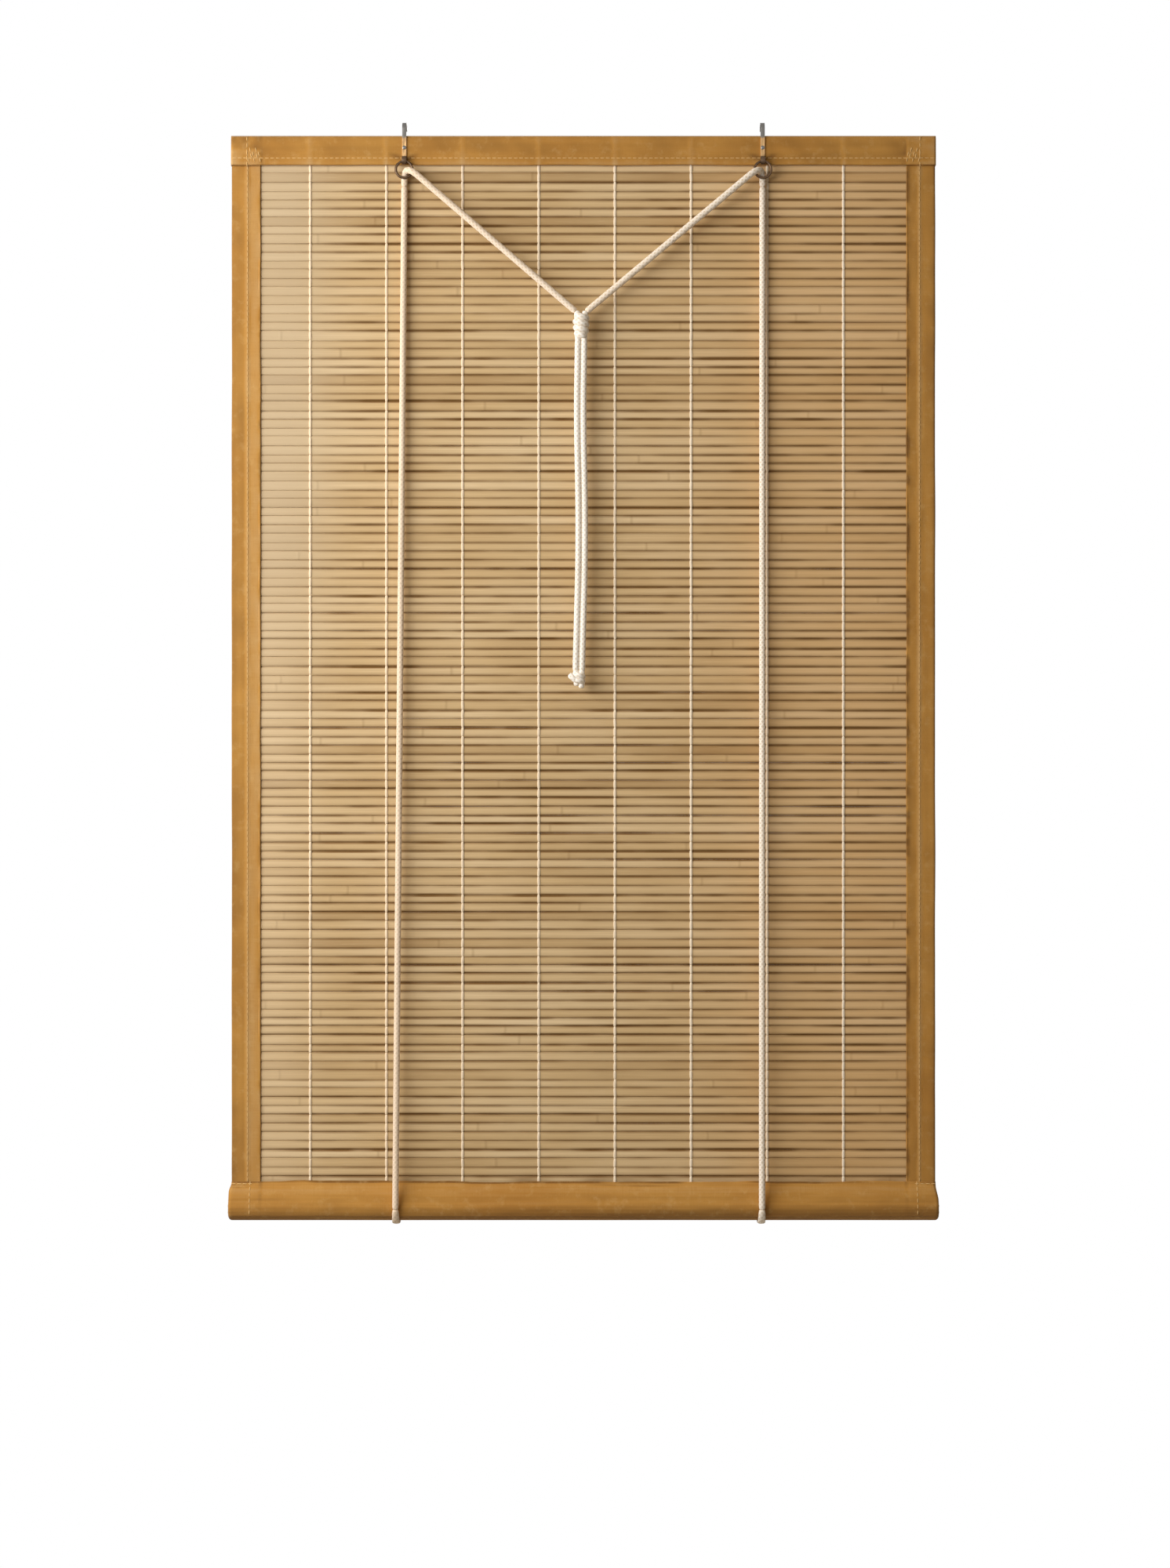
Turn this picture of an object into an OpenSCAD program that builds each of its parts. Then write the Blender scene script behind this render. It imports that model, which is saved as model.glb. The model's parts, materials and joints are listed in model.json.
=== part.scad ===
// Bamboo roll up blind: a slat mat bound with cloth tape, a roller at the foot and two lift cords.
// Millimetres. X runs to the right, Y to the wall, Z up. The origin is midway between the hook seats.

/* [Blind] */
// Width across the side bindings
blind_w = 600; // [420:10:1200]
// Drop from the top edge of the head to the underside of the roller
drop = 925; // [700:5:1600]

/* [Slats] */
// Number of slats in the mat
slat_count = 120; // [60:1:121]
// Gap between two slats
slat_gap = 0.8; // [0.4:0.1:1.6]
// Thickness of a slat at its crown
mat_t = 1.6; // [1.2:0.1:3]
// Width of the rounded shoulder on the front of a slat
slat_shoulder = 1.6; // [0.6:0.1:2.2]
// Depth of that shoulder
slat_fall = 0.6; // [0.2:0.1:0.9]

/* [Warp threads] */
// Thickness of a warp thread
thread_t = 0.7; // [0.4:0.1:1.2]
// Width of a warp thread
thread_w = 2; // [0.8:0.1:3]
// Shift of the row of threads from the middle, to the left
thread_shift = 5.7; // [0:0.1:12]

/* [Cloth bindings] */
// Thickness of the cloth tape
tape_t = 0.8; // [0.5:0.1:1.6]
// Height of the top binding
head_h = 25.5; // [20:0.5:40]
// Width of a side binding
side_w = 24.8; // [15:0.2:40]
// Height of the hem from the underside of the roller to its upper edge
hem_h = 33.5; // [26:0.5:50]

/* [Head laths] */
// Thickness of a head lath
lath_t = 2.7; // [2:0.1:6]
// Height of a head lath
lath_h = 22; // [15:0.5:24]

/* [Roller] */
// Diameter of the rod
rod_d = 20; // [14:0.5:24]
// Thickness of one layer of the cover
cover_ply = 0.5; // [0.3:0.1:1]
// Length of the roller past each side of the mat
roller_over = 2; // [1:0.5:8]

/* [Hangers] */
// Distance between the two hangers
hanger_spacing = 305; // [200:5:500]
// Thickness of the strap
strap_t = 1.2; // [0.8:0.1:2]
// Width of the strap
strap_w = 3.6; // [3.4:0.1:6]
// Height of the hook's mouth above the head
hook_mouth = 5.2; // [4.5:0.1:12]
// Inner radius of the rolled eye
eye_r = 2.2; // [1.9:0.1:3]
// Diameter of the ring's wire
ring_wire = 2.2; // [1.4:0.1:2.6]
// Mean diameter of the ring
ring_d = 14; // [13:0.5:20]
// Diameter of the screw's shank
screw_d = 1.6; // [1.4:0.1:2.2]

/* [Cords] */
// Diameter of the lift cord
cord_d = 5.5; // [4:0.1:5.6]
// Thickness of the cord where it is pressed flat under the roller
press_h = 2.4; // [1.6:0.1:4]
// Diameter of the joining knot
knot_d = 12; // [10:0.5:16]
// Height of the joining knot
knot_h = 21; // [16:0.5:30]
// Diameter of the knot at the end of the tails
tail_knot_d = 12.4; // [11:0.2:16]
// Diameter of the wire of a staple
staple_wire = 1.6; // [1:0.1:2]

/* [Hidden] */
$fn = 48;
// Free play round a piece that is put in place loosely
fit = 0.2;
// Free play between the turning roller and what lies against it
turn_gap = 0.3;
// How far a cutting shape runs past what it cuts
past = 1;

// Depths of the head, from the middle of the mat outwards
thread_y = mat_t / 2 + thread_t;
lath_y = thread_y + lath_t;
head_y = lath_y + tape_t;

// Heights of the head
hook_r = head_y;
head_top = -(hook_r + hook_mouth);
head_bottom = head_top - head_h;
lath_top = head_top - tape_t - fit;
mat_top = lath_top - thread_t;

// The roller
cover_in_r = rod_d / 2 + fit / 2;
cover_mid_r = cover_in_r + cover_ply;
roller_r = cover_mid_r + cover_ply;
roller_z = head_top - drop + roller_r;
roller_w = blind_w + 2 * roller_over;
cover_lip_r = rod_d / 4;
cover_bevel = cover_ply;
overlap_turn = 150;

// The mat
mat_bottom = roller_z + roller_r + turn_gap + thread_t;
mat_h = mat_top - mat_bottom;
mat_w = blind_w - 2 * tape_t - 2 * fit;
slat_pitch = (mat_h + slat_gap) / slat_count;
slat_h = slat_pitch - slat_gap;
slat_edge = mat_t - slat_fall;
web_share = 0.6;
web_w = side_w * web_share;
web_high_share = 0.75;
web_low_share = 0.25;

// The warp threads
thread_count = 8;
thread_share = 0.118;
thread_pitch = (blind_w - 2 * side_w) * thread_share;
thread_mid = (thread_count - 1) / 2;

// The hem, seen from the end, about the roller's axis
hem_top = roller_z - roller_r + hem_h;
hem_rise = hem_top - roller_z;
hem_in_r = roller_r + turn_gap;
hem_out_r = hem_in_r + tape_t;
hem_in_y = thread_y;
hem_out_y = thread_y + tape_t;

// The head's bevel
head_bevel = tape_t;

// The hangers
hanger_x = hanger_spacing / 2;
strap_y = hook_r + strap_t;
eye_y = -(strap_y + eye_r);
eye_out_r = eye_r + strap_t;
slit_share = 0.65;
eye_z = head_bottom + eye_out_r - fit;
ring_r = ring_d / 2;
ring_sag = ring_r - sqrt(ring_r * ring_r - strap_w * strap_w / 4);
ring_z = eye_z - ring_r - (eye_r - ring_wire / 2 - ring_sag) + fit / 2;
screw_share = 0.45;
screw_z = lath_top - lath_h * screw_share;
screw_head_d = 2 * screw_d;
screw_head_h = screw_d / 2;
screw_len = strap_y + lath_y - cover_ply;

// The cords
cord_r = cord_d / 2;
cord_sides = 10;
bight_r = hem_in_r + cord_r;
bight_steps = 16;
press_w_share = 1.3;
press_w = cord_d * press_w_share;
// How far the left and right runs stand out from their hangers at the roller
left_lean = 7;
right_lean = -1;
back_y = head_y + cord_r + fit / 2;
stop_knot_d = 10;
stop_knot_z = head_top - stop_knot_d / 2;
stop_knot_y = head_y + stop_knot_d / 2;
staple_r = cord_r + staple_wire / 2 + fit / 2;
staple_share = 0.74;
staple_z = lath_top - lath_h * staple_share;
staple_len = back_y - thread_y - fit;

// Plane of the pull cords, clear of the roller's front
pull_y = -(hem_in_r + cord_r + fit);
// Where the front run stands behind the ring
ring_back_y = eye_y + ring_wire / 2 + cord_r + fit;
// Route of a pull cord through its ring: inwards from the hanger, share of the way to the front, up
ring_steps = [
  [0, 0, -14],
  [0, 0, -9],
  [0.4, 0.08, -4.5],
  [1.6, 0.38, -1.6],
  [3.8, 0.7, -1.3],
  [7.4, 0.92, -2.9],
  [12.4, 1, -6.7],
];
// Last points of the pull cords above the joining knot, across and up
left_join = [-6.6, -162];
right_join = [2.6, -162];
// Routes of the two tails, from the joining knot to the knot at their end, across and up
left_tail_steps = [
  [-4.9, -186],
  [-5.2, -210],
  [-5.6, -240],
  [-5.4, -270],
  [-4.8, -300],
  [-4.4, -330],
  [-4.4, -360],
  [-4.8, -390],
  [-5.6, -420],
  [-6.4, -450],
  [-6.8, -467],
];
right_tail_steps = [
  [0.9, -186],
  [0.6, -210],
  [0.2, -240],
  [0.4, -270],
  [1, -300],
  [1.4, -330],
  [1.4, -360],
  [1, -390],
  [0.2, -420],
  [-0.6, -450],
  [-1, -467],
];
knot_at = [-2, -175];
tail_knot_at = [-4, -473];
tail_knot_h = 12;

// Colours
bamboo = [0.80, 0.67, 0.46];
lath_wood = [0.76, 0.60, 0.38];
cloth = [0.68, 0.48, 0.22];
cotton = [0.94, 0.89, 0.79];
steel = [0.62, 0.62, 0.63];

// Which node to show

// Helpers

// A flat shape drawn in Y and Z, run along X about the middle
module along_x(w) {
  translate([-w / 2, 0, 0])
    rotate([90, 0, 90])
      linear_extrude(w)
        children();
}

// A box from its two corners
module box(low, high) {
  translate(low)
    cube(high - low);
}

// A hole along Y
module hole_y(x, z, d, from_y, to_y) {
  translate([x, from_y, z])
    rotate([-90, 0, 0])
      cylinder(h = to_y - from_y, d = d);
}

function unit(v) = v / norm(v);
function heading(p, i) = unit(p[min(i + 1, len(p) - 1)] - p[max(i - 1, 0)]);
function side(t) = unit(cross(t, [1, 0, 0]));
function ring_point(c, t, r, a) = c + r * (cos(a) * side(t) + sin(a) * cross(t, side(t)));

// A point given across and up, in the plane of the pull cords
function in_pull_plane(p) = [p[0], pull_y, p[1]];

// A point of the route through the ring on one side
function ring_point_of(s, p) = [
  s * (hanger_x - p[0]),
  ring_back_y + (pull_y - ring_back_y) * p[1],
  ring_z + p[2]
];

// A closed tube over rings of points
module tube(points, n) {
  last = len(points) / n - 1;
  walls = [
    for (i = [0 : last - 1])
      for (k = [0 : n - 1])
        for (half = [0, 1])
          half == 0
            ? [i * n + k, (i + 1) * n + k, (i + 1) * n + (k + 1) % n]
            : [i * n + k, (i + 1) * n + (k + 1) % n, i * n + (k + 1) % n]
  ];
  start = [for (k = [0 : n - 1]) k];
  end = [for (k = [n - 1 : -1 : 0]) last * n + k];
  polyhedron(points = points, faces = concat(walls, [start], [end]));
}

// A round cord swept along a route
module cord(p, d, n) {
  tube([
    for (i = [0 : len(p) - 1])
      for (k = [0 : n - 1])
        ring_point(p[i], heading(p, i), d / 2, 360 * k / n)
  ], n);
}

// Thickness and width of a bight at an angle round the roller
function bight_h(a) = cord_d + (press_h - cord_d) * sin(a);
function bight_w(a) = cord_d + (press_w - cord_d) * sin(a);

// A point on the skin of a bight, which goes flat under the roller
function bight_point(a, k) =
  let (r = hem_in_r + bight_h(a) / 2 + cos(k) * bight_h(a) / 2)
  [-sin(k) * bight_w(a) / 2, -r * cos(a), -r * sin(a)];

// A knot: a round solid about Z with a bulging middle and narrower ends
module knot(d, h) {
  waist_share = 0.72;
  rise_share = 0.28;
  rotate_extrude()
    polygon([
      [0, -h / 2],
      [d * waist_share / 2, -h / 2],
      [d / 2, -h * rise_share],
      [d / 2, h * rise_share],
      [d * waist_share / 2, h / 2],
      [0, h / 2],
    ]);
}

// Section of one slat, with a crowned front and a square back
module slat_section() {
  polygon([
    [mat_t / 2, -slat_h / 2],
    [mat_t / 2, slat_h / 2],
    [slat_fall - mat_t / 2, slat_h / 2],
    [-mat_t / 2, slat_h / 2 - slat_shoulder],
    [-mat_t / 2, slat_shoulder - slat_h / 2],
    [slat_fall - mat_t / 2, -slat_h / 2],
  ]);
}

// The hem's outline down to where it meets a circle about the roller's axis
module teardrop(r, neck) {
  reach = norm([neck, hem_rise]);
  turn = atan2(neck, hem_rise) + acos(r / reach);
  polygon([
    [-neck, hem_rise],
    [neck, hem_rise],
    [r * sin(turn), r * cos(turn)],
    [-r * sin(turn), r * cos(turn)],
  ]);
}

// Pieces

module slat_mat() {
  color(bamboo)
    difference() {
      union() {
        for (i = [0 : slat_count - 1])
          translate([0, 0, mat_top - slat_h / 2 - i * slat_pitch])
            along_x(mat_w)
              slat_section();
        for (s = [-1, 1])
          translate([s * (mat_w - web_w) / 2, 0, 0])
            box([-web_w / 2, mat_t / 2 - slat_edge * web_high_share, mat_bottom + slat_h / 2],
                [web_w / 2, mat_t / 2 - slat_edge * web_low_share, mat_top - slat_h / 2]);
      }
      for (s = [-1, 1])
        hole_y(s * hanger_x, screw_z, screw_d + fit, -mat_t, mat_t);
    }
}

// A warp thread loops round the whole mat, in front and behind
module warp_thread(i) {
  x = (i - thread_mid) * thread_pitch - thread_shift;
  color(cotton)
    difference() {
      box([x - thread_w / 2, -thread_y, mat_bottom - thread_t],
          [x + thread_w / 2, thread_y, mat_top + thread_t]);
      box([x - thread_w, -mat_t / 2, mat_bottom], [x + thread_w, mat_t / 2, mat_top]);
      for (s = [-1, 1])
        hole_y(s * hanger_x, screw_z, screw_d + fit, -head_y, head_y);
    }
}

module warp_thread_1() { warp_thread(0); }
module warp_thread_2() { warp_thread(1); }
module warp_thread_3() { warp_thread(2); }
module warp_thread_4() { warp_thread(3); }
module warp_thread_5() { warp_thread(4); }
module warp_thread_6() { warp_thread(5); }
module warp_thread_7() { warp_thread(6); }
module warp_thread_8() { warp_thread(7); }

module head_lath(from_y) {
  color(lath_wood)
    difference() {
      box([-mat_w / 2, from_y, lath_top - lath_h], [mat_w / 2, from_y + lath_t, lath_top]);
      for (s = [-1, 1])
        hole_y(s * hanger_x, screw_z, screw_d + fit, -head_y, lath_y - tape_t / 2);
      for (s = [-1, 1], leg = [-1, 1])
        hole_y(s * hanger_x + leg * staple_r, staple_z, staple_wire + fit, thread_y, head_y);
    }
}

module head_lath_front() { head_lath(-lath_y); }

module head_lath_back() { head_lath(thread_y); }

module top_binding() {
  color(cloth)
    difference() {
      along_x(blind_w)
        polygon([
          [-head_y, head_bottom],
          [-head_y, head_top - head_bevel],
          [head_bevel - head_y, head_top],
          [head_y - head_bevel, head_top],
          [head_y, head_top - head_bevel],
          [head_y, head_bottom],
        ]);
      box([tape_t - blind_w / 2, -lath_y, head_bottom - past],
          [blind_w / 2 - tape_t, lath_y, head_top - tape_t]);
      for (s = [-1, 1])
        hole_y(s * hanger_x, screw_z, screw_d + fit, -head_y - past, 0);
      for (s = [-1, 1], leg = [-1, 1])
        hole_y(s * hanger_x + leg * staple_r, staple_z, staple_wire + fit, 0, head_y + past);
    }
}

// A side binding is folded round the slat ends
module side_binding(s) {
  fold_y = mat_t / 2 + tape_t;
  color(cloth)
    translate([s * (blind_w - side_w) / 2, 0, 0])
      difference() {
        box([-side_w / 2, -fold_y, hem_top], [side_w / 2, fold_y, head_bottom]);
        translate([-s * tape_t, 0, 0])
          box([-side_w / 2, -mat_t / 2, hem_top - past], [side_w / 2, mat_t / 2, head_bottom + past]);
      }
}

module left_binding() { side_binding(-1); }

module right_binding() { side_binding(1); }

module bottom_binding() {
  color(cloth)
    translate([0, 0, roller_z])
      union() {
        along_x(blind_w)
          difference() {
            teardrop(hem_out_r, hem_out_y);
            teardrop(hem_in_r, hem_in_y);
            circle(r = hem_in_r);
          }
        for (s = [-1, 1])
          translate([s * (blind_w - tape_t) / 2, 0, 0])
            along_x(tape_t)
              difference() {
                teardrop(hem_out_r, hem_out_y);
                circle(r = hem_in_r);
              }
      }
}

module bottom_rod() {
  color(lath_wood)
    translate([0, 0, roller_z])
      rotate([0, 90, 0])
        cylinder(h = roller_w - 2 * cover_ply - fit, d = rod_d, center = true);
}

// The cover is wound on: one layer all round with turned-in ends, and an overlap
module roller_cover() {
  color(cloth)
    translate([-roller_w / 2, 0, roller_z])
      rotate([0, 90, 0])
        union() {
          rotate_extrude()
            polygon([
              [cover_lip_r, 0],
              [cover_mid_r - cover_bevel, 0],
              [cover_mid_r, cover_bevel],
              [cover_mid_r, roller_w - cover_bevel],
              [cover_mid_r - cover_bevel, roller_w],
              [cover_lip_r, roller_w],
              [cover_lip_r, roller_w - cover_ply],
              [cover_in_r, roller_w - cover_ply],
              [cover_in_r, cover_ply],
              [cover_lip_r, cover_ply],
            ]);
          rotate([0, 0, overlap_turn / 2])
            rotate_extrude(angle = overlap_turn)
              translate([cover_mid_r - fit, cover_bevel])
                square([cover_ply + fit, roller_w - 2 * cover_bevel]);
        }
}

// A strap with a hook over the wall fixing, a leg down the front of the head and a rolled eye
module hanger(s) {
  color(steel)
    translate([s * hanger_x, 0, 0])
      difference() {
        along_x(strap_w)
          union() {
            difference() {
              translate([0, -hook_r])
                circle(r = strap_y);
              translate([0, -hook_r])
                circle(r = hook_r);
              translate([-strap_y - past, -hook_r - strap_y - past])
                square([2 * (strap_y + past), strap_y + past]);
            }
            translate([-strap_y, eye_z])
              square([strap_t, -hook_r - eye_z]);
            difference() {
              translate([eye_y, eye_z])
                circle(r = eye_out_r);
              translate([eye_y, eye_z])
                circle(r = eye_r);
              translate([eye_y + eye_r * slit_share, eye_z])
                square([eye_r * (1 - slit_share), eye_out_r + past]);
            }
          }
        hole_y(0, screw_z, screw_d + fit, -strap_y - past, 0);
      }
}

module left_hanger() { hanger(-1); }

module right_hanger() { hanger(1); }

module hanger_screw(s) {
  color(steel)
    translate([s * hanger_x, -strap_y, screw_z])
      rotate([-90, 0, 0])
        rotate_extrude()
          polygon([
            [0, -screw_head_h],
            [screw_head_d / 4, -screw_head_h],
            [screw_head_d / 2, -screw_head_h / 2],
            [screw_head_d / 2, 0],
            [screw_d / 2, 0],
            [screw_d / 2, screw_len - screw_d],
            [0, screw_len],
          ]);
}

module left_hanger_screw() { hanger_screw(-1); }

module right_hanger_screw() { hanger_screw(1); }

module cord_ring(s) {
  color(steel)
    translate([s * hanger_x, eye_y, ring_z])
      rotate([90, 0, 0])
        rotate_extrude()
          translate([ring_r, 0])
            circle(d = ring_wire);
}

module left_ring() { cord_ring(-1); }

module right_ring() { cord_ring(1); }

// A run of the lift cord down the front, from behind the ring to the roller
module front_cord(s, lean) {
  foot_x = s * (hanger_x + lean);
  color(cotton)
    cord([
      ring_point_of(s, ring_steps[0]),
      [foot_x, -bight_r, roller_z + turn_gap],
    ], cord_d, cord_sides);
}

module left_front_cord() { front_cord(-1, left_lean); }

module right_front_cord() { front_cord(1, right_lean); }

module cord_bight(s, lean) {
  color(cotton)
    translate([s * (hanger_x + lean), 0, roller_z])
      tube([
        for (i = [0 : bight_steps])
          for (k = [0 : cord_sides - 1])
            bight_point(180 * i / bight_steps, 360 * k / cord_sides)
      ], cord_sides);
}

module left_cord_bight() { cord_bight(-1, left_lean); }

module right_cord_bight() { cord_bight(1, right_lean); }

// The back run is held flat on the head and then falls to the back of the roller
module back_cord(s, lean) {
  foot_x = s * (hanger_x + lean);
  color(cotton)
    cord([
      [s * hanger_x, back_y, stop_knot_z - stop_knot_d / 2],
      [s * hanger_x, back_y, staple_z - cord_d],
      [foot_x, bight_r, roller_z + turn_gap],
    ], cord_d, cord_sides);
}

module left_back_cord() { back_cord(-1, left_lean); }

module right_back_cord() { back_cord(1, right_lean); }

module back_staple(s) {
  color(steel)
    translate([s * hanger_x, back_y, staple_z])
      union() {
        rotate_extrude(angle = 180)
          translate([staple_r, 0])
            circle(d = staple_wire);
        for (leg = [-1, 1])
          translate([leg * staple_r, 0, 0])
            rotate([90, 0, 0])
              cylinder(h = staple_len, d = staple_wire);
      }
}

module left_back_staple() { back_staple(-1); }

module right_back_staple() { back_staple(1); }

module stop_knot(s) {
  color(cotton)
    translate([s * hanger_x, stop_knot_y, stop_knot_z])
      knot(stop_knot_d, stop_knot_d);
}

module left_stop_knot() { stop_knot(-1); }

module right_stop_knot() { stop_knot(1); }

function pull_route(s, join) = concat(
  [for (p = ring_steps) ring_point_of(s, p)],
  [in_pull_plane(join)]
);

module left_pull_cord() {
  color(cotton)
    cord(pull_route(-1, left_join), cord_d, cord_sides);
}

module right_pull_cord() {
  color(cotton)
    cord(pull_route(1, right_join), cord_d, cord_sides);
}

module pull_knot() {
  color(cotton)
    translate(in_pull_plane(knot_at))
      knot(knot_d, knot_h);
}

module left_cord_tail() {
  color(cotton)
    cord([for (p = left_tail_steps) in_pull_plane(p)], cord_d, cord_sides);
}

module right_cord_tail() {
  color(cotton)
    cord([for (p = right_tail_steps) in_pull_plane(p)], cord_d, cord_sides);
}

module tail_knot() {
  color(cotton)
    translate(in_pull_plane(tail_knot_at))
      knot(tail_knot_d, tail_knot_h);
}

slat_mat();
warp_thread_1();
warp_thread_2();
warp_thread_3();
warp_thread_4();
warp_thread_5();
warp_thread_6();
warp_thread_7();
warp_thread_8();
head_lath_front();
head_lath_back();
top_binding();
left_binding();
right_binding();
bottom_binding();
bottom_rod();
roller_cover();
left_hanger();
right_hanger();
left_hanger_screw();
right_hanger_screw();
left_ring();
right_ring();
left_front_cord();
right_front_cord();
left_cord_bight();
right_cord_bight();
left_back_cord();
right_back_cord();
left_back_staple();
right_back_staple();
left_stop_knot();
right_stop_knot();
left_pull_cord();
right_pull_cord();
pull_knot();
left_cord_tail();
right_cord_tail();
tail_knot();
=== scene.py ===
"""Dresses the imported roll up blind: bamboo slats, cloth bindings, cotton cords, steel fittings."""

import json
import math

import bmesh
import bpy
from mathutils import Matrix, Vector, noise


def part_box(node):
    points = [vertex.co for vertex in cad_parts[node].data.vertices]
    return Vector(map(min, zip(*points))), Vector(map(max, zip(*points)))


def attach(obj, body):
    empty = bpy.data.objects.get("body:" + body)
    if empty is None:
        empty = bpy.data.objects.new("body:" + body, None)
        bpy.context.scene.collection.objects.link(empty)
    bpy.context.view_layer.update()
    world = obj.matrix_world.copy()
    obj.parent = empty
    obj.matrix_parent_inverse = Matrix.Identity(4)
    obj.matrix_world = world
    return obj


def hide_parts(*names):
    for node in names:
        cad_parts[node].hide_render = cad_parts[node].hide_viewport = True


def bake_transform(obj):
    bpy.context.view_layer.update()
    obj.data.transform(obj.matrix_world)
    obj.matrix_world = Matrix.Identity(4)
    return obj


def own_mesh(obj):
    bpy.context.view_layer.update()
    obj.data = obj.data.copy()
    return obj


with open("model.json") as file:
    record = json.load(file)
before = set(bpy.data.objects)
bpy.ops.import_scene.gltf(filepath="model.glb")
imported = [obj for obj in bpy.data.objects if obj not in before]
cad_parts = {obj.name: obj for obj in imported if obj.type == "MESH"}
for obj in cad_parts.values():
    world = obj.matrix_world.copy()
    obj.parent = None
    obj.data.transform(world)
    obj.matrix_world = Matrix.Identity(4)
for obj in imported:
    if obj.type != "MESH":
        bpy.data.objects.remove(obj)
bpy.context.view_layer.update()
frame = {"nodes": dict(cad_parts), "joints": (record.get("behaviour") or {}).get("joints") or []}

bl_info = {
    "name": "Bamboo roll up blind",
    "version": (1, 0, 0),
    "blender": (4, 2, 0),
    "location": "3D View > Sidebar > Blind",
    "description": "Makes the slats, bindings, cords and fittings of a bamboo roll up blind",
    "category": "Add Mesh",
}

# Millimetres, and the signs of X on the two sides and of Y on the two faces

MM = 0.001
SIDES = {"left": -1, "right": 1}
FACES = {"front": -1, "back": 1}


def middle(node):
    """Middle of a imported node's box."""
    low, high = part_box(node)
    return (low + high) / 2


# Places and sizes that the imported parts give, in metres

MAT_LOW, MAT_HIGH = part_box("slat_mat")
HEAD_LOW, HEAD_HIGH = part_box("top_binding")
SIDE_LOW, SIDE_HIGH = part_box("left_binding")
ROD_LOW, ROD_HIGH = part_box("bottom_rod")
BIGHT_LOW, BIGHT_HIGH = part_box("left_cord_bight")
COVER_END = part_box("roller_cover")[1].x
HEM_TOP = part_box("bottom_binding")[1].z
HEAD_FOOT = HEAD_LOW.z
HALF_W = HEAD_HIGH.x
SIDE_W = SIDE_HIGH.x - SIDE_LOW.x
TAPE_EDGE = HALF_W - SIDE_W
ROD_Z = middle("bottom_rod").z
ROD_R = (ROD_HIGH.z - ROD_LOW.z) / 2
COVER_R = ROD_R + 1.0 * MM
THREAD_COUNT = 8
THREADS = [f"warp_thread_{i + 1}" for i in range(THREAD_COUNT)]
THREAD_X = [middle(node).x for node in THREADS]
HANGER_X = middle("right_hanger").x
RING = {side: middle(f"{side}_ring") for side in SIDES}
RING_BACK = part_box("left_ring")[1].y
CORD_R = 2.75 * MM
FOOT_X = {side: middle(f"{side}_cord_bight").x for side in SIDES}
CORD_FOOT = ROD_Z + 0.3 * MM
BIGHT_R = BIGHT_HIGH.y - CORD_R
PRESS_H = ROD_Z - BIGHT_R + CORD_R - BIGHT_LOW.z
PRESS_W = BIGHT_HIGH.x - BIGHT_LOW.x
KNOT = middle("pull_knot")
PULL_Y = KNOT.y
TAIL_KNOT = middle("tail_knot")
STOP_KNOT = {side: middle(f"{side}_stop_knot") for side in SIDES}
LIFT = next(joint for joint in frame["joints"] if joint["name"] == "blind_lift")["range_m"][1]

# Cord routes in millimetres from the part's source, and how much nearer each tail is laid

RING_STEPS = [
    (0, 0, -14),
    (0, 0, -9),
    (0.4, 0.08, -4.5),
    (1.6, 0.38, -1.6),
    (3.8, 0.7, -1.3),
    (7.4, 0.92, -2.9),
    (12.4, 1, -6.7),
]
JOINS = {"left": (-6.6, -162), "right": (2.6, -162)}
JOIN_SHARES = (0.1, 0.25, 0.45, 0.65, 0.85, 1.0)
TAIL_STEPS = {
    "left": [
        (-4.9, -186), (-5.2, -210), (-5.6, -240), (-5.4, -270), (-4.8, -300), (-4.4, -330),
        (-4.4, -360), (-4.8, -390), (-5.6, -420), (-6.4, -450), (-6.8, -467),
    ],
    "right": [
        (0.9, -186), (0.6, -210), (0.2, -240), (0.4, -270), (1, -300), (1.4, -330),
        (1.4, -360), (1, -390), (0.2, -420), (-0.6, -450), (-1, -467),
    ],
}
TAIL_CLOSE = 0.25
BRAID_SIDES = 20
BRAID_STEP = 0.85 * MM

# Slats and warp threads: the mat's rows, and the sections of one slat and one wrap

SLAT_COUNT = 120
SLAT_GAP = 0.8 * MM
SLAT_PITCH = (MAT_HIGH.z - MAT_LOW.z + SLAT_GAP) / SLAT_COUNT
FIRST_SLAT = MAT_HIGH.z - SLAT_PITCH / 2 + SLAT_GAP / 2
SLAT_CUTS = 24
SLAT_BACK = 0.8 * MM
SLAT_CROWN = -0.88 * MM
SLAT_LIP = 3.6 * MM
WRAP_SIDES = 7
WRAP_HALF_W = 1.3 * MM
WRAP_HALF_T = 0.32 * MM
WRAP_ARCH = [(0.55, -1.0), (0.8, -0.9), (1.02, -0.66), (1.13, -0.3), (1.16, 0.0)]

# Bindings: layers, seams and how finely each cloth is cut

TAPE_LAYER = 0.5 * MM
EDGE_DROP = 0.25 * MM
HEAD_SEAM = HEAD_FOOT + 5.9 * MM
HEAD_ROUND = 3.4 * MM
SIDE_SEAM = 13.6 * MM
SIDE_TUCK = 2.5 * MM
HEM_END_SEAM = 16.0 * MM
HEM_NECK = 2.2 * MM
COVER_CURL = 2.6 * MM
COVER_TURN = 0.2 * MM
COVER_THICK = 0.5 * MM
STITCH_PROUD = 0.06 * MM
LONG_STEPS = 300
HEM_STEPS = 240
COVER_STEPS = 150
COVER_SIDES = 64

# Floor, lamps and camera: each lamp's place, size, power and colour

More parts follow.
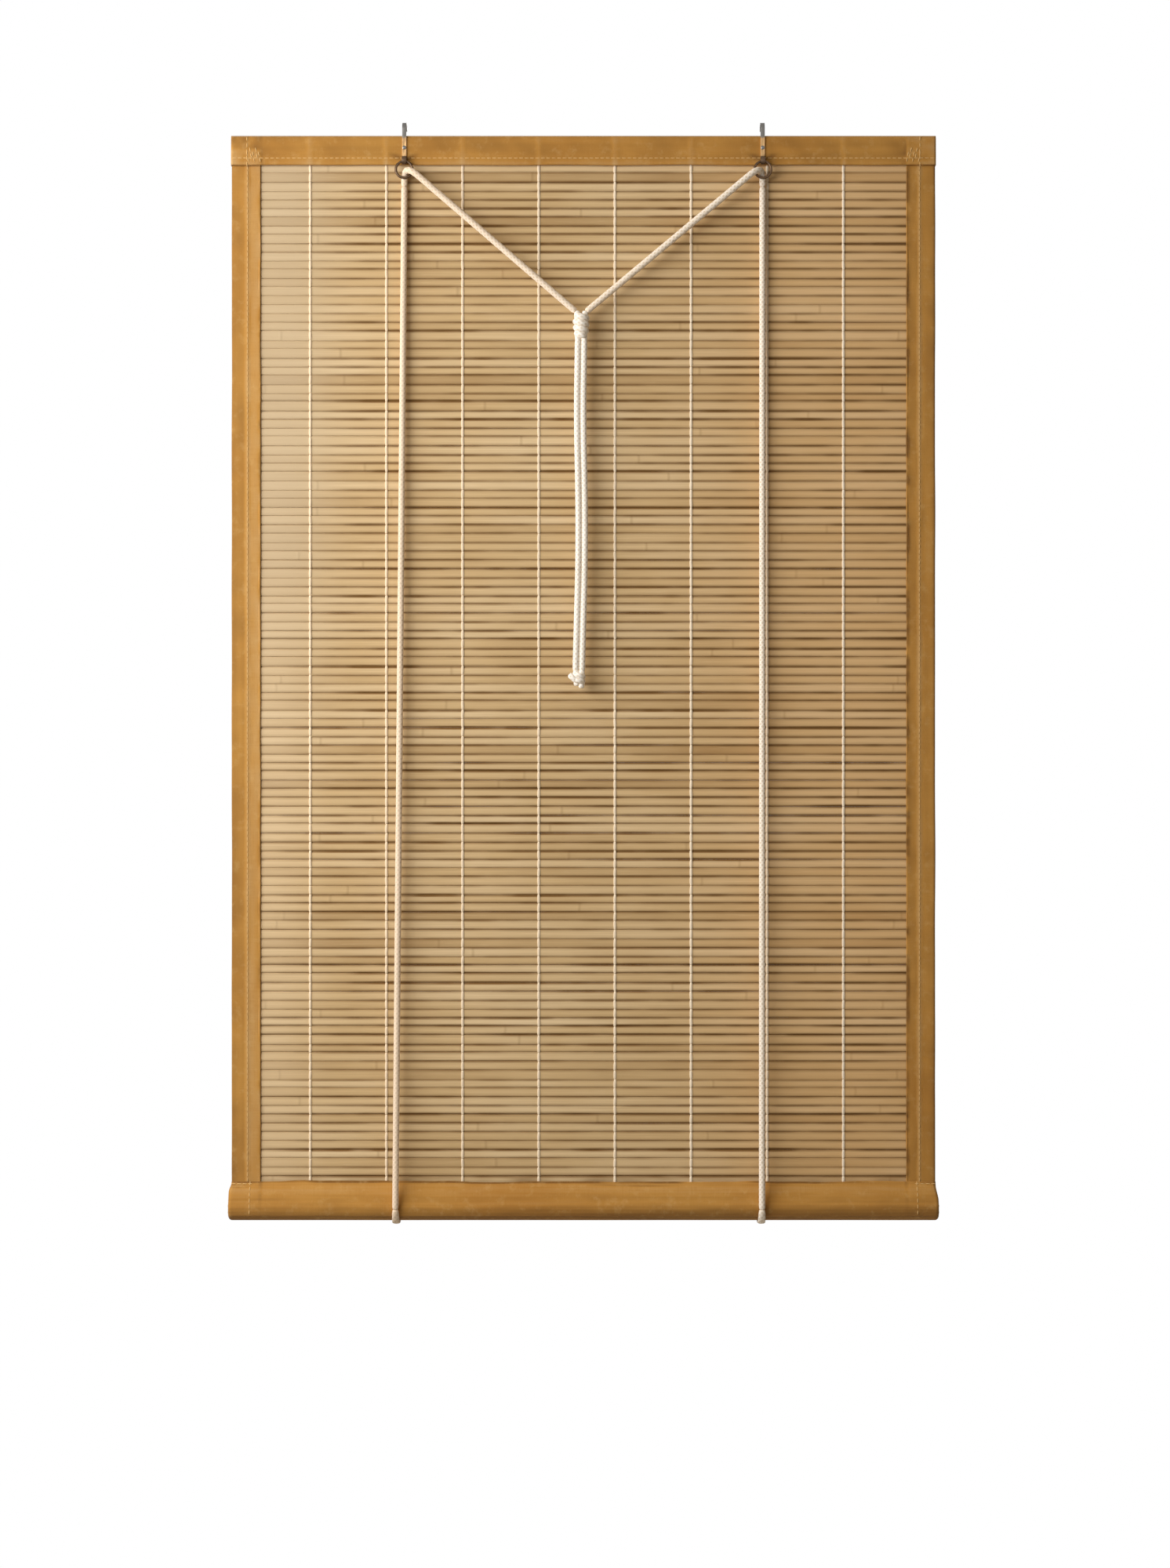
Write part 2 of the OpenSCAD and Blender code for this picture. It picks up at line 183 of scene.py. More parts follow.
FLOOR_TOP, FLOOR_DEEP, FLOOR_HALF = -2.4, 0.05, 2.0
LAMP_AIM = (0.0, 0.0, -0.5)
LAMPS = {
    "key lamp": ((-1.15, -0.9, -0.08), (1.9, 0.7), 31.5, (0.99, 0.99, 1.0)),
    "back lamp": ((0.7, 2.6, 0.4), (1.4, 1.4), 36, (1.0, 0.96, 0.9)),
    "fill lamp": ((0.1, -2.8, 0.2), (1.6, 1.6), 2.2, (1.0, 0.9, 0.74)),
}
CAMERA_PLACE = (0.0013, -2.4, -0.5628)
FRAME_HEIGHT = 1.338
SENSOR = 36


# Sizes and colours that the panel shows


def screen(red, green, blue):
    """A colour as a screen shows it, 0 to 255, made linear."""

    def straight(value):
        value /= 255
        return value / 12.92 if value <= 0.04045 else ((value + 0.055) / 1.055) ** 2.4

    return tuple(straight(value) for value in (red, green, blue))


def colour_property(name, description, default):
    """A colour that the panel shows."""
    return bpy.props.FloatVectorProperty(
        name=name, description=description, default=default, size=3, min=0, max=1, subtype="COLOR"
    )


def length_property(name, description, default):
    """A length that the panel shows."""
    return bpy.props.FloatProperty(
        name=name, description=description, default=default, min=0, precision=5, unit="LENGTH"
    )


class BlindSizes(bpy.types.PropertyGroup):
    """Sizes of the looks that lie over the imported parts."""

    slat_count: bpy.props.IntProperty(
        name="Slats", description="Number of slats in the mat", default=SLAT_COUNT, min=2
    )
    groove_wander: length_property(
        "Groove wander", "How far the groove between two slats runs off its line", 0.9 * MM
    )
    slat_sway: length_property("Slat sway", "How far a slat bows out of the mat", 0.35 * MM)
    cloth_thickness: length_property("Cloth", "Thickness of the binding cloth", 0.7 * MM)
    cloth_relief: length_property("Wrinkles", "Height of the wrinkles in the bindings", 0.4 * MM)
    stitch_pitch: length_property("Stitch pitch", "Distance between two stitches", 4.6 * MM)
    stitch_length: length_property("Stitch length", "Length of one stitch", 3.9 * MM)
    stitch_radius: length_property("Stitch radius", "Radius of the sewing thread", 0.4 * MM)
    braid_pitch: length_property("Braid pitch", "Length of one diamond of the braid", 4.2 * MM)
    seed: bpy.props.IntProperty(
        name="Seed", description="Seed of everything that varies", default=7, min=0
    )


class BlindColours(bpy.types.PropertyGroup):
    """Colours of the blind's materials."""

    # Painted light: the next two colours stand for the lamp from the left, paler slats at the lower
    # left and duller ones at the upper left
    bamboo_lamplit: colour_property("Faded bamboo", "Slats faded by the sun", screen(228, 202, 164))
    bamboo_washed: colour_property("Dusty bamboo", "Slats bleached dull", screen(189, 168, 137))
    # Painted light: the deeper, warmer slats towards the right, away from the lamp's sheen
    bamboo_sheenless: colour_property("Tanned bamboo", "Slats away from the sun", screen(224, 166, 98))
    bamboo_pale: colour_property("Pale bamboo", "Palest slats", screen(229, 202, 159))
    bamboo_mid: colour_property("Bamboo", "Most slats", screen(208, 176, 127))
    bamboo_brown: colour_property("Brown bamboo", "Darkest slats", screen(160, 125, 78))
    # Painted shade: the grooves between slats and the shadow above the hem, as well as the cane's
    # own dark joints
    groove: colour_property("Groove", "Bottom of the grooves", screen(128, 93, 50))
    cloth: colour_property("Cloth", "Binding cloth", screen(191, 139, 65))
    cloth_shade: colour_property("Cloth shade", "Second tone of the cloth", screen(166, 111, 42))
    # Painted light and shade: the next two colours paint shade into creases, folds and the
    # underside, and highlights onto ridges and seams, along with some random tone
    cloth_dark: colour_property("Cloth dark", "Creases and soiled edges", screen(104, 68, 28))
    cloth_sheen_and_wear: colour_property("Cloth worn", "Rubbed ridges and edges", screen(198, 160, 107))
    sewing: colour_property("Sewing thread", "Thread of the seams", screen(222, 186, 124))
    warp: colour_property("Warp thread", "Thread that ties the slats", screen(247, 230, 204))
    # The warp thread turns to this colour towards the left
    warp_at_left: colour_property("Aged warp", "Thread yellowed by the sun", screen(238, 215, 182))
    # Painted light: the lift cord is painted paler towards the right, where the lamp's light falls
    # off; the next colour is its colour at the left
    cord: colour_property("Cord", "Lift cord", screen(255, 244, 228))
    cord_at_left: colour_property("Aged cord", "Lift cord yellowed by the sun", screen(241, 216, 188))
    # Painted shade between the strands of the cord and of the warp thread's wraps
    cord_shade: colour_property(
        "Cord shade", "Between the strands of the cord", screen(216, 192, 158)
    )
    # Painted light: the tails and knots are the same cord, painted whiter where they hang in fuller
    # light
    tail: colour_property("Tail", "Cord below the joining knot", screen(255, 246, 233))
    # Painted shade between the tail's strands
    tail_shade: colour_property(
        "Tail shade", "Between the strands of the tail", screen(220, 202, 176)
    )
    steel: colour_property("Steel", "Hooks, screws and staples", screen(112, 109, 105))
    # Painted reflection: the tan of the cloth, painted onto the strap where it lies on the binding
    cloth_reflection: colour_property("Brass", "Face of the hanger straps", screen(190, 152, 104))
    # Painted shade: eyes and rings darkened brown
    shaded_steel: colour_property("Dark steel", "Eyes and rings", screen(92, 72, 54))
    wood: colour_property("Wood", "Laths and rod", screen(206, 168, 116))


# Node trees


class Wire:
    """An output socket that does sums: each operator adds a Math node."""

    def __init__(self, tree, socket):
        self.tree = tree
        self.socket = socket

    def sum(self, operation, *terms):
        """A Math node over its terms."""
        return self.tree.node("ShaderNodeMath", {"operation": operation}, dict(enumerate(terms)))

    def __add__(self, other):
        return self.sum("ADD", self, other)

    def __sub__(self, other):
        return self.sum("SUBTRACT", self, other)

    def __rsub__(self, other):
        return self.sum("SUBTRACT", other, self)

    def __mul__(self, other):
        return self.sum("MULTIPLY", self, other)

    def __truediv__(self, other):
        return self.sum("DIVIDE", self, other)

    def __pow__(self, other):
        return self.sum("POWER", self, other)

    def __neg__(self):
        return self.sum("MULTIPLY", self, -1.0)

    def __abs__(self):
        return self.sum("ABSOLUTE", self)

    __radd__ = __add__
    __rmul__ = __mul__

    def sine(self):
        return self.sum("SINE", self)

    def fraction(self):
        return self.sum("FRACT", self)

    def most(self, other):
        return self.sum("MAXIMUM", self, other)

    def ease(self, low, high):
        """From 0 at low to 1 at high, smoothly."""
        return self.tree.node(
            "ShaderNodeMapRange", {"interpolation_type": "SMOOTHSTEP"}, {0: self, 1: low, 2: high}
        )


class Tree:
    """A node tree in the making, with one way to add a node to it."""

    def __init__(self, group):
        self.group = group

    def node(self, kind, settings=None, sockets=None, out=0):
        """Adds a node with its settings and sockets, and gives one of its outputs."""
        made = self.group.nodes.new(kind)
        for name, value in (settings or {}).items():
            if name == "stops":
                elements = made.color_ramp.elements
                while len(elements) < len(value):
                    elements.new(1.0)
                for element, (place, colour) in zip(elements, value):
                    element.position = place
                    element.color = (*colour, 1.0)
            else:
                setattr(made, name, value)
        for key, value in (sockets or {}).items():
            self.plug(made.inputs[key], value)
        return Wire(self, made.outputs[out]) if made.outputs else made

    def plug(self, socket, value):
        """Links a socket to a wire, or sets its value."""
        if isinstance(value, Wire):
            self.group.links.new(value.socket, socket)
        elif socket.type == "RGBA":
            socket.default_value = (*tuple(value)[:3], 1.0)
        else:
            socket.default_value = value

    def mix(self, factor, first, second):
        """The first colour at factor 0, the second at 1."""
        return self.node(
            "ShaderNodeMix", {"data_type": "RGBA"}, {0: factor, 6: first, 7: second}, 2
        )

    def split(self, vector):
        """The three numbers of a vector."""
        made = self.node("ShaderNodeSeparateXYZ", {}, {0: vector}).socket.node
        return [Wire(self, made.outputs[i]) for i in range(3)]

    def join(self, x, y, z):
        """A vector from three numbers."""
        return self.node("ShaderNodeCombineXYZ", {}, {0: x, 1: y, 2: z})

    def cloud(self, vector, scale, detail=2.0, roughness=0.5):
        """Soft noise from 0 to 1."""
        return self.node(
            "ShaderNodeTexNoise",
            {},
            {"Vector": vector, "Scale": scale, "Detail": detail, "Roughness": roughness},
        )


class Finish(Tree):
    """A material in the making."""

    def __init__(self, name):
        self.material = bpy.data.materials.new(name)
        self.material.use_nodes = True
        super().__init__(self.material.node_tree)
        self.group.nodes.clear()

    def place(self):
        """Where a point lies on its object."""
        return self.node("ShaderNodeTexCoord", {}, {}, "Object")

    def stretched(self, vector, scales):
        """A vector with each of its numbers scaled."""
        return self.node("ShaderNodeVectorMath", {"operation": "MULTIPLY"}, {0: vector, 1: scales})

    def attribute(self, name):
        """A number that the mesh keeps for each point."""
        return self.node("ShaderNodeAttribute", {"attribute_name": name}, {}, "Fac")

    def bump(self, height, distance, strength=1.0):
        """A normal from a height."""
        return self.node(
            "ShaderNodeBump", {}, {"Height": height, "Distance": distance, "Strength": strength}
        )

    def surface(self, sockets):
        """Ends the material in one surface, and gives the material."""
        shader = self.node("ShaderNodeBsdfPrincipled", {}, sockets)
        self.node("ShaderNodeOutputMaterial", {}, {"Surface": shader})
        return self.material


# Finishes


def bamboo_finish(colours):
    """Split bamboo: each slat its own tone, long fibres, dark joints and shaded grooves."""
    f = Finish("split bamboo")
    place = f.place()
    x, _, z = f.split(place)
    tone = f.attribute("slat_tone")
    edge = f.attribute("slat_edge")
    # The tone of each slat, and how it drifts along the slat
    drift = f.cloud(f.join(x * 5.0 + tone * 61.0, tone * 37.0, 0.0), 1.0, 2.0)
    patch = f.cloud(f.stretched(place, (6.0, 1.0, 9.0)), 1.0, 3.0, 0.6)
    rare = tone.ease(0.9, 0.96)
    shade = tone * 0.34 + drift * (patch * 0.7 + 0.3) + patch * 0.35 + rare * 0.12 - 0.29
    stops = [
        (0.0, colours.bamboo_pale),
        (0.45, colours.bamboo_mid),
        (1.0, colours.bamboo_brown),
    ]
    colour = f.node("ShaderNodeValToRGB", {"stops": stops}, {"Fac": shade})
    # Fibres, streaks and the joints of the cane
    fibre = f.cloud(f.stretched(place, (14.0, 300.0, 2600.0)), 1.0, 3.0, 0.6)
    streak = f.cloud(f.stretched(place, (40.0, 200.0, 900.0)), 1.0, 2.0, 0.6)
    colour = f.mix(fibre.ease(0.35, 0.8) * 0.3, colour, colours.bamboo_brown)
    colour = f.mix(streak.ease(0.55, 0.85) * 0.28, colour, colours.bamboo_pale)
    turn = (x * 1.9 + tone * 9.0).fraction()
    joint = 1.0 - abs(turn - 0.5).ease(0.0, 0.004)
    colour = f.mix(joint * 0.2, colour, colours.groove)
    # Painted light: paler slats at the lower left, and duller slats with almost no groove shade at
    # the upper left, where the lamp from the left washes them out
    left = MAT_LOW.x + SIDE_W
    lamplit = (1.0 - x.ease(left, left + 75 * MM)) * (1.0 - z.ease(-0.4, -0.08) * 0.9)
    closed = (1.0 - x.ease(left + 20 * MM, left + 95 * MM)) * z.ease(-0.62, -0.3)
    colour = f.mix(lamplit * 0.34, colour, colours.bamboo_lamplit)
    colour = f.mix(closed * 0.55, colour, colours.bamboo_washed)
    # Painted light: deeper, warmer slats towards the right, where the lamp's pale sheen no longer
    # falls
    sheenless = x.ease(0.0, MAT_HIGH.x - SIDE_W)
    colour = f.mix(sheenless * 0.32, colour, colours.bamboo_sheenless)
    # Painted shade in the grooves between slats, deeper where they gape, fainter at the left where
    # painted light washes it out
    open_groove = f.attribute("slat_open")
    groove = f.attribute("slat_groove")
    dash = f.cloud(f.join(x * 15.0, groove * 7.7, 3.0), 1.0, 2.0, 0.6).ease(0.36, 0.62)
    depth = (open_groove * 0.5 + 0.52) * (dash * 0.6 + 0.68) * (1.0 - lamplit * 0.5)
    depth = depth * (1.0 - closed * 0.9)
    colour = f.mix(edge.ease(0.06, 0.8) * depth, colour, colours.groove)
    # Painted shadow along the hem, in blotches, where its wavy edge and folds shade the lowest slats
    blotches = f.cloud(f.stretched(place, (16.0, 1.0, 60.0)), 1.0, 2.0).ease(0.35, 0.7)
    near_hem = 1.0 - z.ease(HEM_TOP, HEM_TOP + 9 * MM)
    colour = f.mix(near_hem * (blotches * 0.6 + 0.12), colour, colours.groove)
    height = fibre * 0.6 + streak * 0.4 + joint * 1.2
    return f.surface(
        {
            "Base Color": colour,
            "Roughness": fibre * 0.2 + 0.54 + edge * 0.2,
            "Specular IOR Level": 0.25,
            "Normal": f.bump(height, 0.12 * MM, 0.8),
        }
    )


def cloth_finish(colours):
    """Plain woven cotton tape: fine crossing yarns, painted highlights on its raised parts and
    painted shade in its hollows.
    """
    f = Finish("binding cloth")
    u, v, _ = f.split(f.node("ShaderNodeUVMap", {"uv_map": "cloth"}, {}))
    place = f.place()
    yarn = 2 * math.pi / (0.55 * MM)
    across = (u * yarn).sine()
    along = (v * yarn).sine()
    weave = across * along * 0.5 + 0.5
    slub = f.cloud(f.join(u * 60.0, v * 900.0, 0.0), 1.0, 2.0, 0.6)
    slub_up = f.cloud(f.join(u * 900.0, v * 60.0, 3.0), 1.0, 2.0, 0.6)
    blotch = f.cloud(place, 9.0, 4.0, 0.6)
    mottle = f.cloud(place, 140.0, 3.0, 0.6)
    hollow = f.attribute("hollow")
    colour = f.mix(blotch.ease(0.3, 0.75) * 0.55, colours.cloth, colours.cloth_shade)
    # Painted shade in creases, folds, hollows and under the hem, with some random darker tone
    colour = f.mix(hollow.most(0.0) * 0.8, colour, colours.cloth_dark)
    # Painted highlights on raised cloth, seam ridges and the left tape's inner strip, with some
    # random paler tone
    colour = f.mix((-hollow).most(0.0) * 0.8, colour, colours.cloth_sheen_and_wear)
    colour = f.mix(mottle.ease(0.5, 0.8) * 0.22, colour, colours.sewing)
    colour = f.mix((slub + slub_up).ease(0.95, 1.35) * 0.25, colour, colours.cloth_shade)
    colour = f.mix(weave * 0.12, colour, colours.cloth_shade)
    height = weave * 0.5 + slub * 0.3 + slub_up * 0.3
    return f.surface(
        {
            "Base Color": colour,
            "Roughness": 0.8 + mottle * 0.15,
            "Specular IOR Level": 0.25,
            "Sheen Weight": 0.12,
            "Normal": f.bump(height, 0.1 * MM, 0.7),
        }
    )


def cotton_finish(name, pale, shade, left_colour=None):
    """Soft cotton yarn, with painted shade between its strands, and another colour towards the left
    where one is given.
    """
    f = Finish(name)
    place = f.place()
    if left_colour:
        # For the lift cord, the paler right is painted light, where the lamp's light falls off; the
        # warp thread just grows yellower towards the left
        pale = f.mix(f.split(place)[0].ease(-0.25, 0.3), left_colour, pale)
    groove = f.attribute("groove")
    fuzz = f.cloud(place, 2600.0, 2.0, 0.6)
    blotches = f.cloud(place, 22.0, 3.0, 0.6)
    # Painted shade between the strands
    colour = f.mix(groove.ease(0.2, 1.0) * 0.75, pale, shade)
    colour = f.mix(blotches.ease(0.5, 0.85) * 0.22, colour, shade)
    return f.surface(
        {
            "Base Color": colour,
            "Roughness": 0.82 + fuzz * 0.12,
            "Specular IOR Level": 0.2,
            "Sheen Weight": 0.15,
            "Normal": f.bump(fuzz - groove * 0.5, 0.12 * MM, 0.6),
        }
    )


def sewing_finish(colours):
    """Twisted sewing thread."""
    f = Finish("sewing thread")
    place = f.place()
    x, y, z = f.split(place)
    twist = ((x + z) * (2 * math.pi / (0.5 * MM)) + y * 4000.0).sine() * 0.5 + 0.5
    tint = f.cloud(place, 60.0)
    colour = f.mix(twist * 0.3 + tint * 0.2, colours.sewing, colours.cloth)
    return f.surface(
        {
            "Base Color": colour,
            "Roughness": 0.62 + tint * 0.2,
            "Normal": f.bump(twist, 0.05 * MM, 0.6),
        }
    )


def steel_finish(name, colour):
    """Zinc plated steel: soft grey with drawn lines and dull spots."""
    f = Finish(name)
    place = f.place()
    drawn = f.cloud(f.stretched(place, (1800.0, 1800.0, 120.0)), 1.0, 2.0)
    spots = f.cloud(place, 260.0, 4.0, 0.65)
    dull = spots.ease(0.45, 0.75)
    dark = tuple(0.45 * c for c in colour)
    return f.surface(
        {
            "Base Color": f.mix(dull * 0.55, colour, dark),
            "Metallic": 1.0 - dull * 0.25,
            "Roughness": 0.3 + dull * 0.25 + drawn * 0.1,
            "Normal": f.bump(drawn * 0.5 + spots * 0.5, 0.03 * MM, 0.5),
        }
    )


def strap_finish(colours):
    """Steel strap, painted with the cloth's tan reflection where it lies on the binding, plain steel
    at the hook and painted shade at the eye.
    """
    f = Finish("worn strap")
    place = f.place()
    spots = f.cloud(place, 260.0, 4.0, 0.65)
    dull = spots.ease(0.45, 0.75)
    level = f.split(place)[2] + (spots - 0.5) * (3 * MM)
    top = level.ease(HEAD_HIGH.z - 4 * MM, HEAD_HIGH.z - 1 * MM)
    eye = 1.0 - level.ease(HEAD_FOOT + 6 * MM, HEAD_FOOT + 9 * MM)
    # Painted reflection of the tan cloth, dulled in spots
    colour = f.mix(dull * 0.3, colours.cloth_reflection, tuple(0.6 * c for c in colours.cloth_reflection))
    # Plain steel above the binding, where no cloth is reflected
    colour = f.mix(top, colour, colours.steel)
    # Painted shade at the eye
    colour = f.mix(eye, colour, colours.shaded_steel)
    return f.surface(
        {
            "Base Color": colour,
            "Metallic": 0.75 - dull * 0.25,
            "Roughness": 0.42 + dull * 0.2,
            "Normal": f.bump(spots, 0.03 * MM, 0.5),
        }
    )


def wood_finish(colours):
    """Plain softwood with growth lines along its length."""
    f = Finish("plain wood")
    place = f.place()
    _, y, z = f.split(place)
    bend = f.cloud(f.stretched(place, (3.0, 30.0, 30.0)), 1.0, 2.0)
    rings = ((y * 900.0 + z * 1300.0) + bend * 14.0).sine() * 0.5 + 0.5
    pores = f.cloud(f.stretched(place, (30.0, 1500.0, 1500.0)), 1.0, 3.0, 0.6)
    brown = tuple(0.6 * c for c in colours.wood)
    colour = f.mix(rings ** 2.0 * 0.5, colours.wood, brown)
    colour = f.mix(pores.ease(0.5, 0.8) * 0.35, colour, brown)
    return f.surface(
        {
            "Base Color": colour,
            "Roughness": 0.6 + pores * 0.2,
            "Normal": f.bump(rings * 0.4 + pores * 0.6, 0.08 * MM, 0.5),
        }
    )


def finish_of(name):
    """A finish, made when it is first asked for."""
    found = bpy.data.materials.get(name)
    if found:
        return found
    colours = bpy.context.scene.blind_colours
    makers = {
        "split bamboo": lambda: bamboo_finish(colours),
        "binding cloth": lambda: cloth_finish(colours),
        "cotton cord": lambda: cotton_finish(
            "cotton cord", colours.cord, colours.cord_shade, colours.cord_at_left
        ),
        # Painted light: the tails and knots are painted whiter than the same cord above them
        "tail cord": lambda: cotton_finish("tail cord", colours.tail, colours.tail_shade),
        "warp thread": lambda: cotton_finish(
            "warp thread", colours.warp, colours.cord_shade, colours.warp_at_left
        ),
        "sewing thread": lambda: sewing_finish(colours),
        "plated steel": lambda: steel_finish("plated steel", tuple(colours.steel)),
        "dark steel": lambda: steel_finish("dark steel", tuple(colours.shaded_steel)),
        # The strap's finish paints the cloth's reflection onto it
        "worn strap": lambda: strap_finish(colours),
        "plain wood": lambda: wood_finish(colours),
    }
    return makers[name]()


# Mesh helpers


def mesh_piece(name, points, faces, finish, numbers=None):
    """A smooth mesh object from points and faces, with a number for each point."""
    mesh = bpy.data.meshes.new(name)
    mesh.from_pydata([tuple(point) for point in points], [], faces)
    mesh.update()
    for label, values in (numbers or {}).items():
        mesh.attributes.new(label, "FLOAT", "POINT").data.foreach_set("value", values)
    mesh.shade_smooth()
    mesh.materials.append(finish_of(finish))
    piece = bpy.data.objects.new(name, mesh)
    bpy.context.scene.collection.objects.link(piece)
    return piece


def ripple(a, b, c):
    """Smooth noise from about -1 to 1."""
    return noise.noise(Vector((a, b, c)))


def clamp(value, low=-1.0, high=1.0):
    """A value held between two limits."""
    return min(high, max(low, value))


def ease(value, low, high):
    """From 0 at low to 1 at high, smoothly."""
    share = clamp((value - low) / (high - low), 0.0)
    return share * share * (3 - 2 * share)


def bell(value, centre, width):
    """1 at the centre, and soon 0 past the width on either side."""
    return math.exp(-(((value - centre) / width) ** 2))


def run_of(profile):
    """Distance along a line of pairs, at each of its points."""
    run = [0.0]
    for (a, b), (c, d) in zip(profile, profile[1:]):
        run.append(run[-1] + math.hypot(c - a, d - b))
    return run


def tube_faces(rings, sides, first=0):
    """Faces of a tube with closed ends, from the number of its first point."""
    faces = []
    for i in range(rings - 1):
        a, b = first + i * sides, first + (i + 1) * sides
        for k in range(sides):
            n = (k + 1) % sides
            faces.append((a + k, b + k, b + n, a + n))
    end = first + (rings - 1) * sides
    faces.append(tuple(first + k for k in range(sides)))
    faces.append(tuple(end + k for k in reversed(range(sides))))
    return faces


def lay_cloth(name, grid, thickness):
    """A closed cloth shell from a grid of cells: outer point, flat place in metres and tone.

    grid[i][k] runs along the piece with i and across its profile with k.
    """
    outer = [[cell[0] for cell in row] for row in grid]
    columns, count = len(outer), len(outer[0])
    centre = sum((sum(row, Vector()) / count for row in outer), Vector()) / columns
    normals, facing = [], 0.0
    for i in range(columns):
        line = []
        for k in range(count):
            along = outer[min(i + 1, columns - 1)][k] - outer[max(i - 1, 0)][k]
            across = outer[i][min(k + 1, count - 1)] - outer[i][max(k - 1, 0)]
            normal = along.cross(across)
            normal = normal.normalized() if normal.length > 1e-12 else Vector()
            facing += normal.dot(outer[i][k] - centre)
            line.append(normal)
        normals.append(line)
    sign = 1.0 if facing > 0 else -1.0
    points = [point for row in outer for point in row]
    for i in range(columns):
        for k in range(count):
            wall = thickness[k] if isinstance(thickness, list) else thickness
            points.append(outer[i][k] - normals[i][k] * (sign * wall))
    half = columns * count

    def at(i, k, wall):
        return wall * half + i * count + k

    faces = []
    for i in range(columns - 1):
        for k in range(count - 1):
            faces.append((at(i, k, 0), at(i + 1, k, 0), at(i + 1, k + 1, 0), at(i, k + 1, 0)))
            faces.append((at(i, k, 1), at(i, k + 1, 1), at(i + 1, k + 1, 1), at(i + 1, k, 1)))
        faces.append((at(i, 0, 0), at(i, 0, 1), at(i + 1, 0, 1), at(i + 1, 0, 0)))
        last = count - 1
        faces.append((at(i, last, 0), at(i + 1, last, 0), at(i + 1, last, 1), at(i, last, 1)))
    for k in range(count - 1):
        end = columns - 1
        faces.append((at(0, k, 0), at(0, k + 1, 0), at(0, k + 1, 1), at(0, k, 1)))
        faces.append((at(end, k, 0), at(end, k, 1), at(end, k + 1, 1), at(end, k + 1, 0)))
    if sign < 0:
        faces = [tuple(reversed(face)) for face in faces]
    flat = [cell[1] for row in grid for cell in row] * 2
    tones = [cell[2] for row in grid for cell in row] * 2
    piece = mesh_piece(name, points, faces, "binding cloth", {"hollow": tones})
    chart = piece.data.uv_layers.new(name="cloth")
    for loop in piece.data.loops:
        chart.data[loop.index].uv = flat[loop.vertex_index]
    return piece


def evenly(points, spacing):
    """Points at even steps along a line of points."""
    reach = [0.0]
    for first, second in zip(points, points[1:]):
        reach.append(reach[-1] + (second - first).length)
    steps = max(2, round(reach[-1] / spacing))
    made, part = [], 0
    for step in range(steps + 1):
        goal = reach[-1] * step / steps
        while part < len(points) - 2 and reach[part + 1] < goal:
            part += 1
        share = (goal - reach[part]) / max(reach[part + 1] - reach[part], 1e-12)
        made.append(points[part].lerp(points[part + 1], share))
    return made


def smooth_line(points, fine=12):
    """A smooth line through points, which may stand at uneven steps."""
    made = []
    for i in range(len(points) - 1):
        a = points[max(i - 1, 0)]
        b, c = points[i], points[i + 1]
        d = points[min(i + 2, len(points) - 1)]
        span = (c - b).length
        lead = (c - a).normalized() * span
        trail = (d - b).normalized() * span
        for step in range(fine):
            t = step / fine
            made.append(
                b * (2 * t**3 - 3 * t**2 + 1)
                + lead * (t**3 - 2 * t**2 + t)
                + c * (3 * t**2 - 2 * t**3)
                + trail * (t**3 - t**2)
            )
    made.append(points[-1].copy())
    return made


def braid(line, radius, pitch, press=None):
    """Points, faces and groove depths of a braided cord, pressed flat where press says."""
    sides, path = BRAID_SIDES, evenly(line, BRAID_STEP)
    points, faces, grooves = [], [], []
    heading = (path[1] - path[0]).normalized()
    side = heading.cross(Vector((1, 0, 0)))
    if side.length < 0.1:
        side = heading.cross(Vector((0, 1, 0)))
    side.normalize()
    last = len(path) - 1
    step = (path[-1] - path[-2]).length
    for i, centre in enumerate(path):
        forward = (path[min(i + 1, last)] - path[max(i - 1, 0)]).normalized()
        side = (side - forward * side.dot(forward)).normalized()
        other = forward.cross(side)
        tip = min(i, last - i)
        close = (0.72, 0.9, 0.97)[tip] if tip < 3 else 1.0
        for k in range(sides):
            angle = 2 * math.pi * k / sides
            run = math.pi * i * step / pitch
            strand = max(abs(math.cos(2 * angle + run)), abs(math.cos(2 * angle - run)))
            reach = radius * close * (0.9 + 0.1 * strand)
            thin, wide = press(i / last) if press else (1.0, 1.0)
            turned = side * (thin * math.cos(angle)) + other * (wide * math.sin(angle))
            points.append(centre + turned * reach)
            # How much painted shade falls on this point, most where the strands part
            grooves.append(min(1.0, (1.0 - strand) * 2.6))
    for i in range(last):
        for k in range(sides):
            n = (k + 1) % sides
            faces.append((i * sides + k, i * sides + n, (i + 1) * sides + n, (i + 1) * sides + k))
    faces.append(tuple(reversed(range(sides))))
    faces.append(tuple(last * sides + k for k in range(sides)))
    return points, faces, grooves


def cord_piece(name, lines, radius, node=None, press=None, finish="cotton cord"):
    """One piece of braided cord along one or more lines."""
    points, faces, grooves = [], [], []
    pitch = bpy.context.scene.blind_sizes.braid_pitch
    for line in lines:
        more, walls, dips = braid(line, radius, pitch, press)
        faces += [tuple(i + len(points) for i in face) for face in walls]
        points += more
        grooves += dips
    piece = mesh_piece(name, points, faces, finish, {"groove": grooves})
    tidy_normals(piece)
    if node:
        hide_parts(node)
    return piece


def tidy_normals(piece):
    """Turns every face of closed shells outwards."""
    work = bmesh.new()
    work.from_mesh(piece.data)
    bmesh.ops.recalc_face_normals(work, faces=work.faces)
    work.to_mesh(piece.data)
    work.free()


def length_of(line):
    """Length of a line of points."""
    return sum((b - a).length for a, b in zip(line, line[1:]))


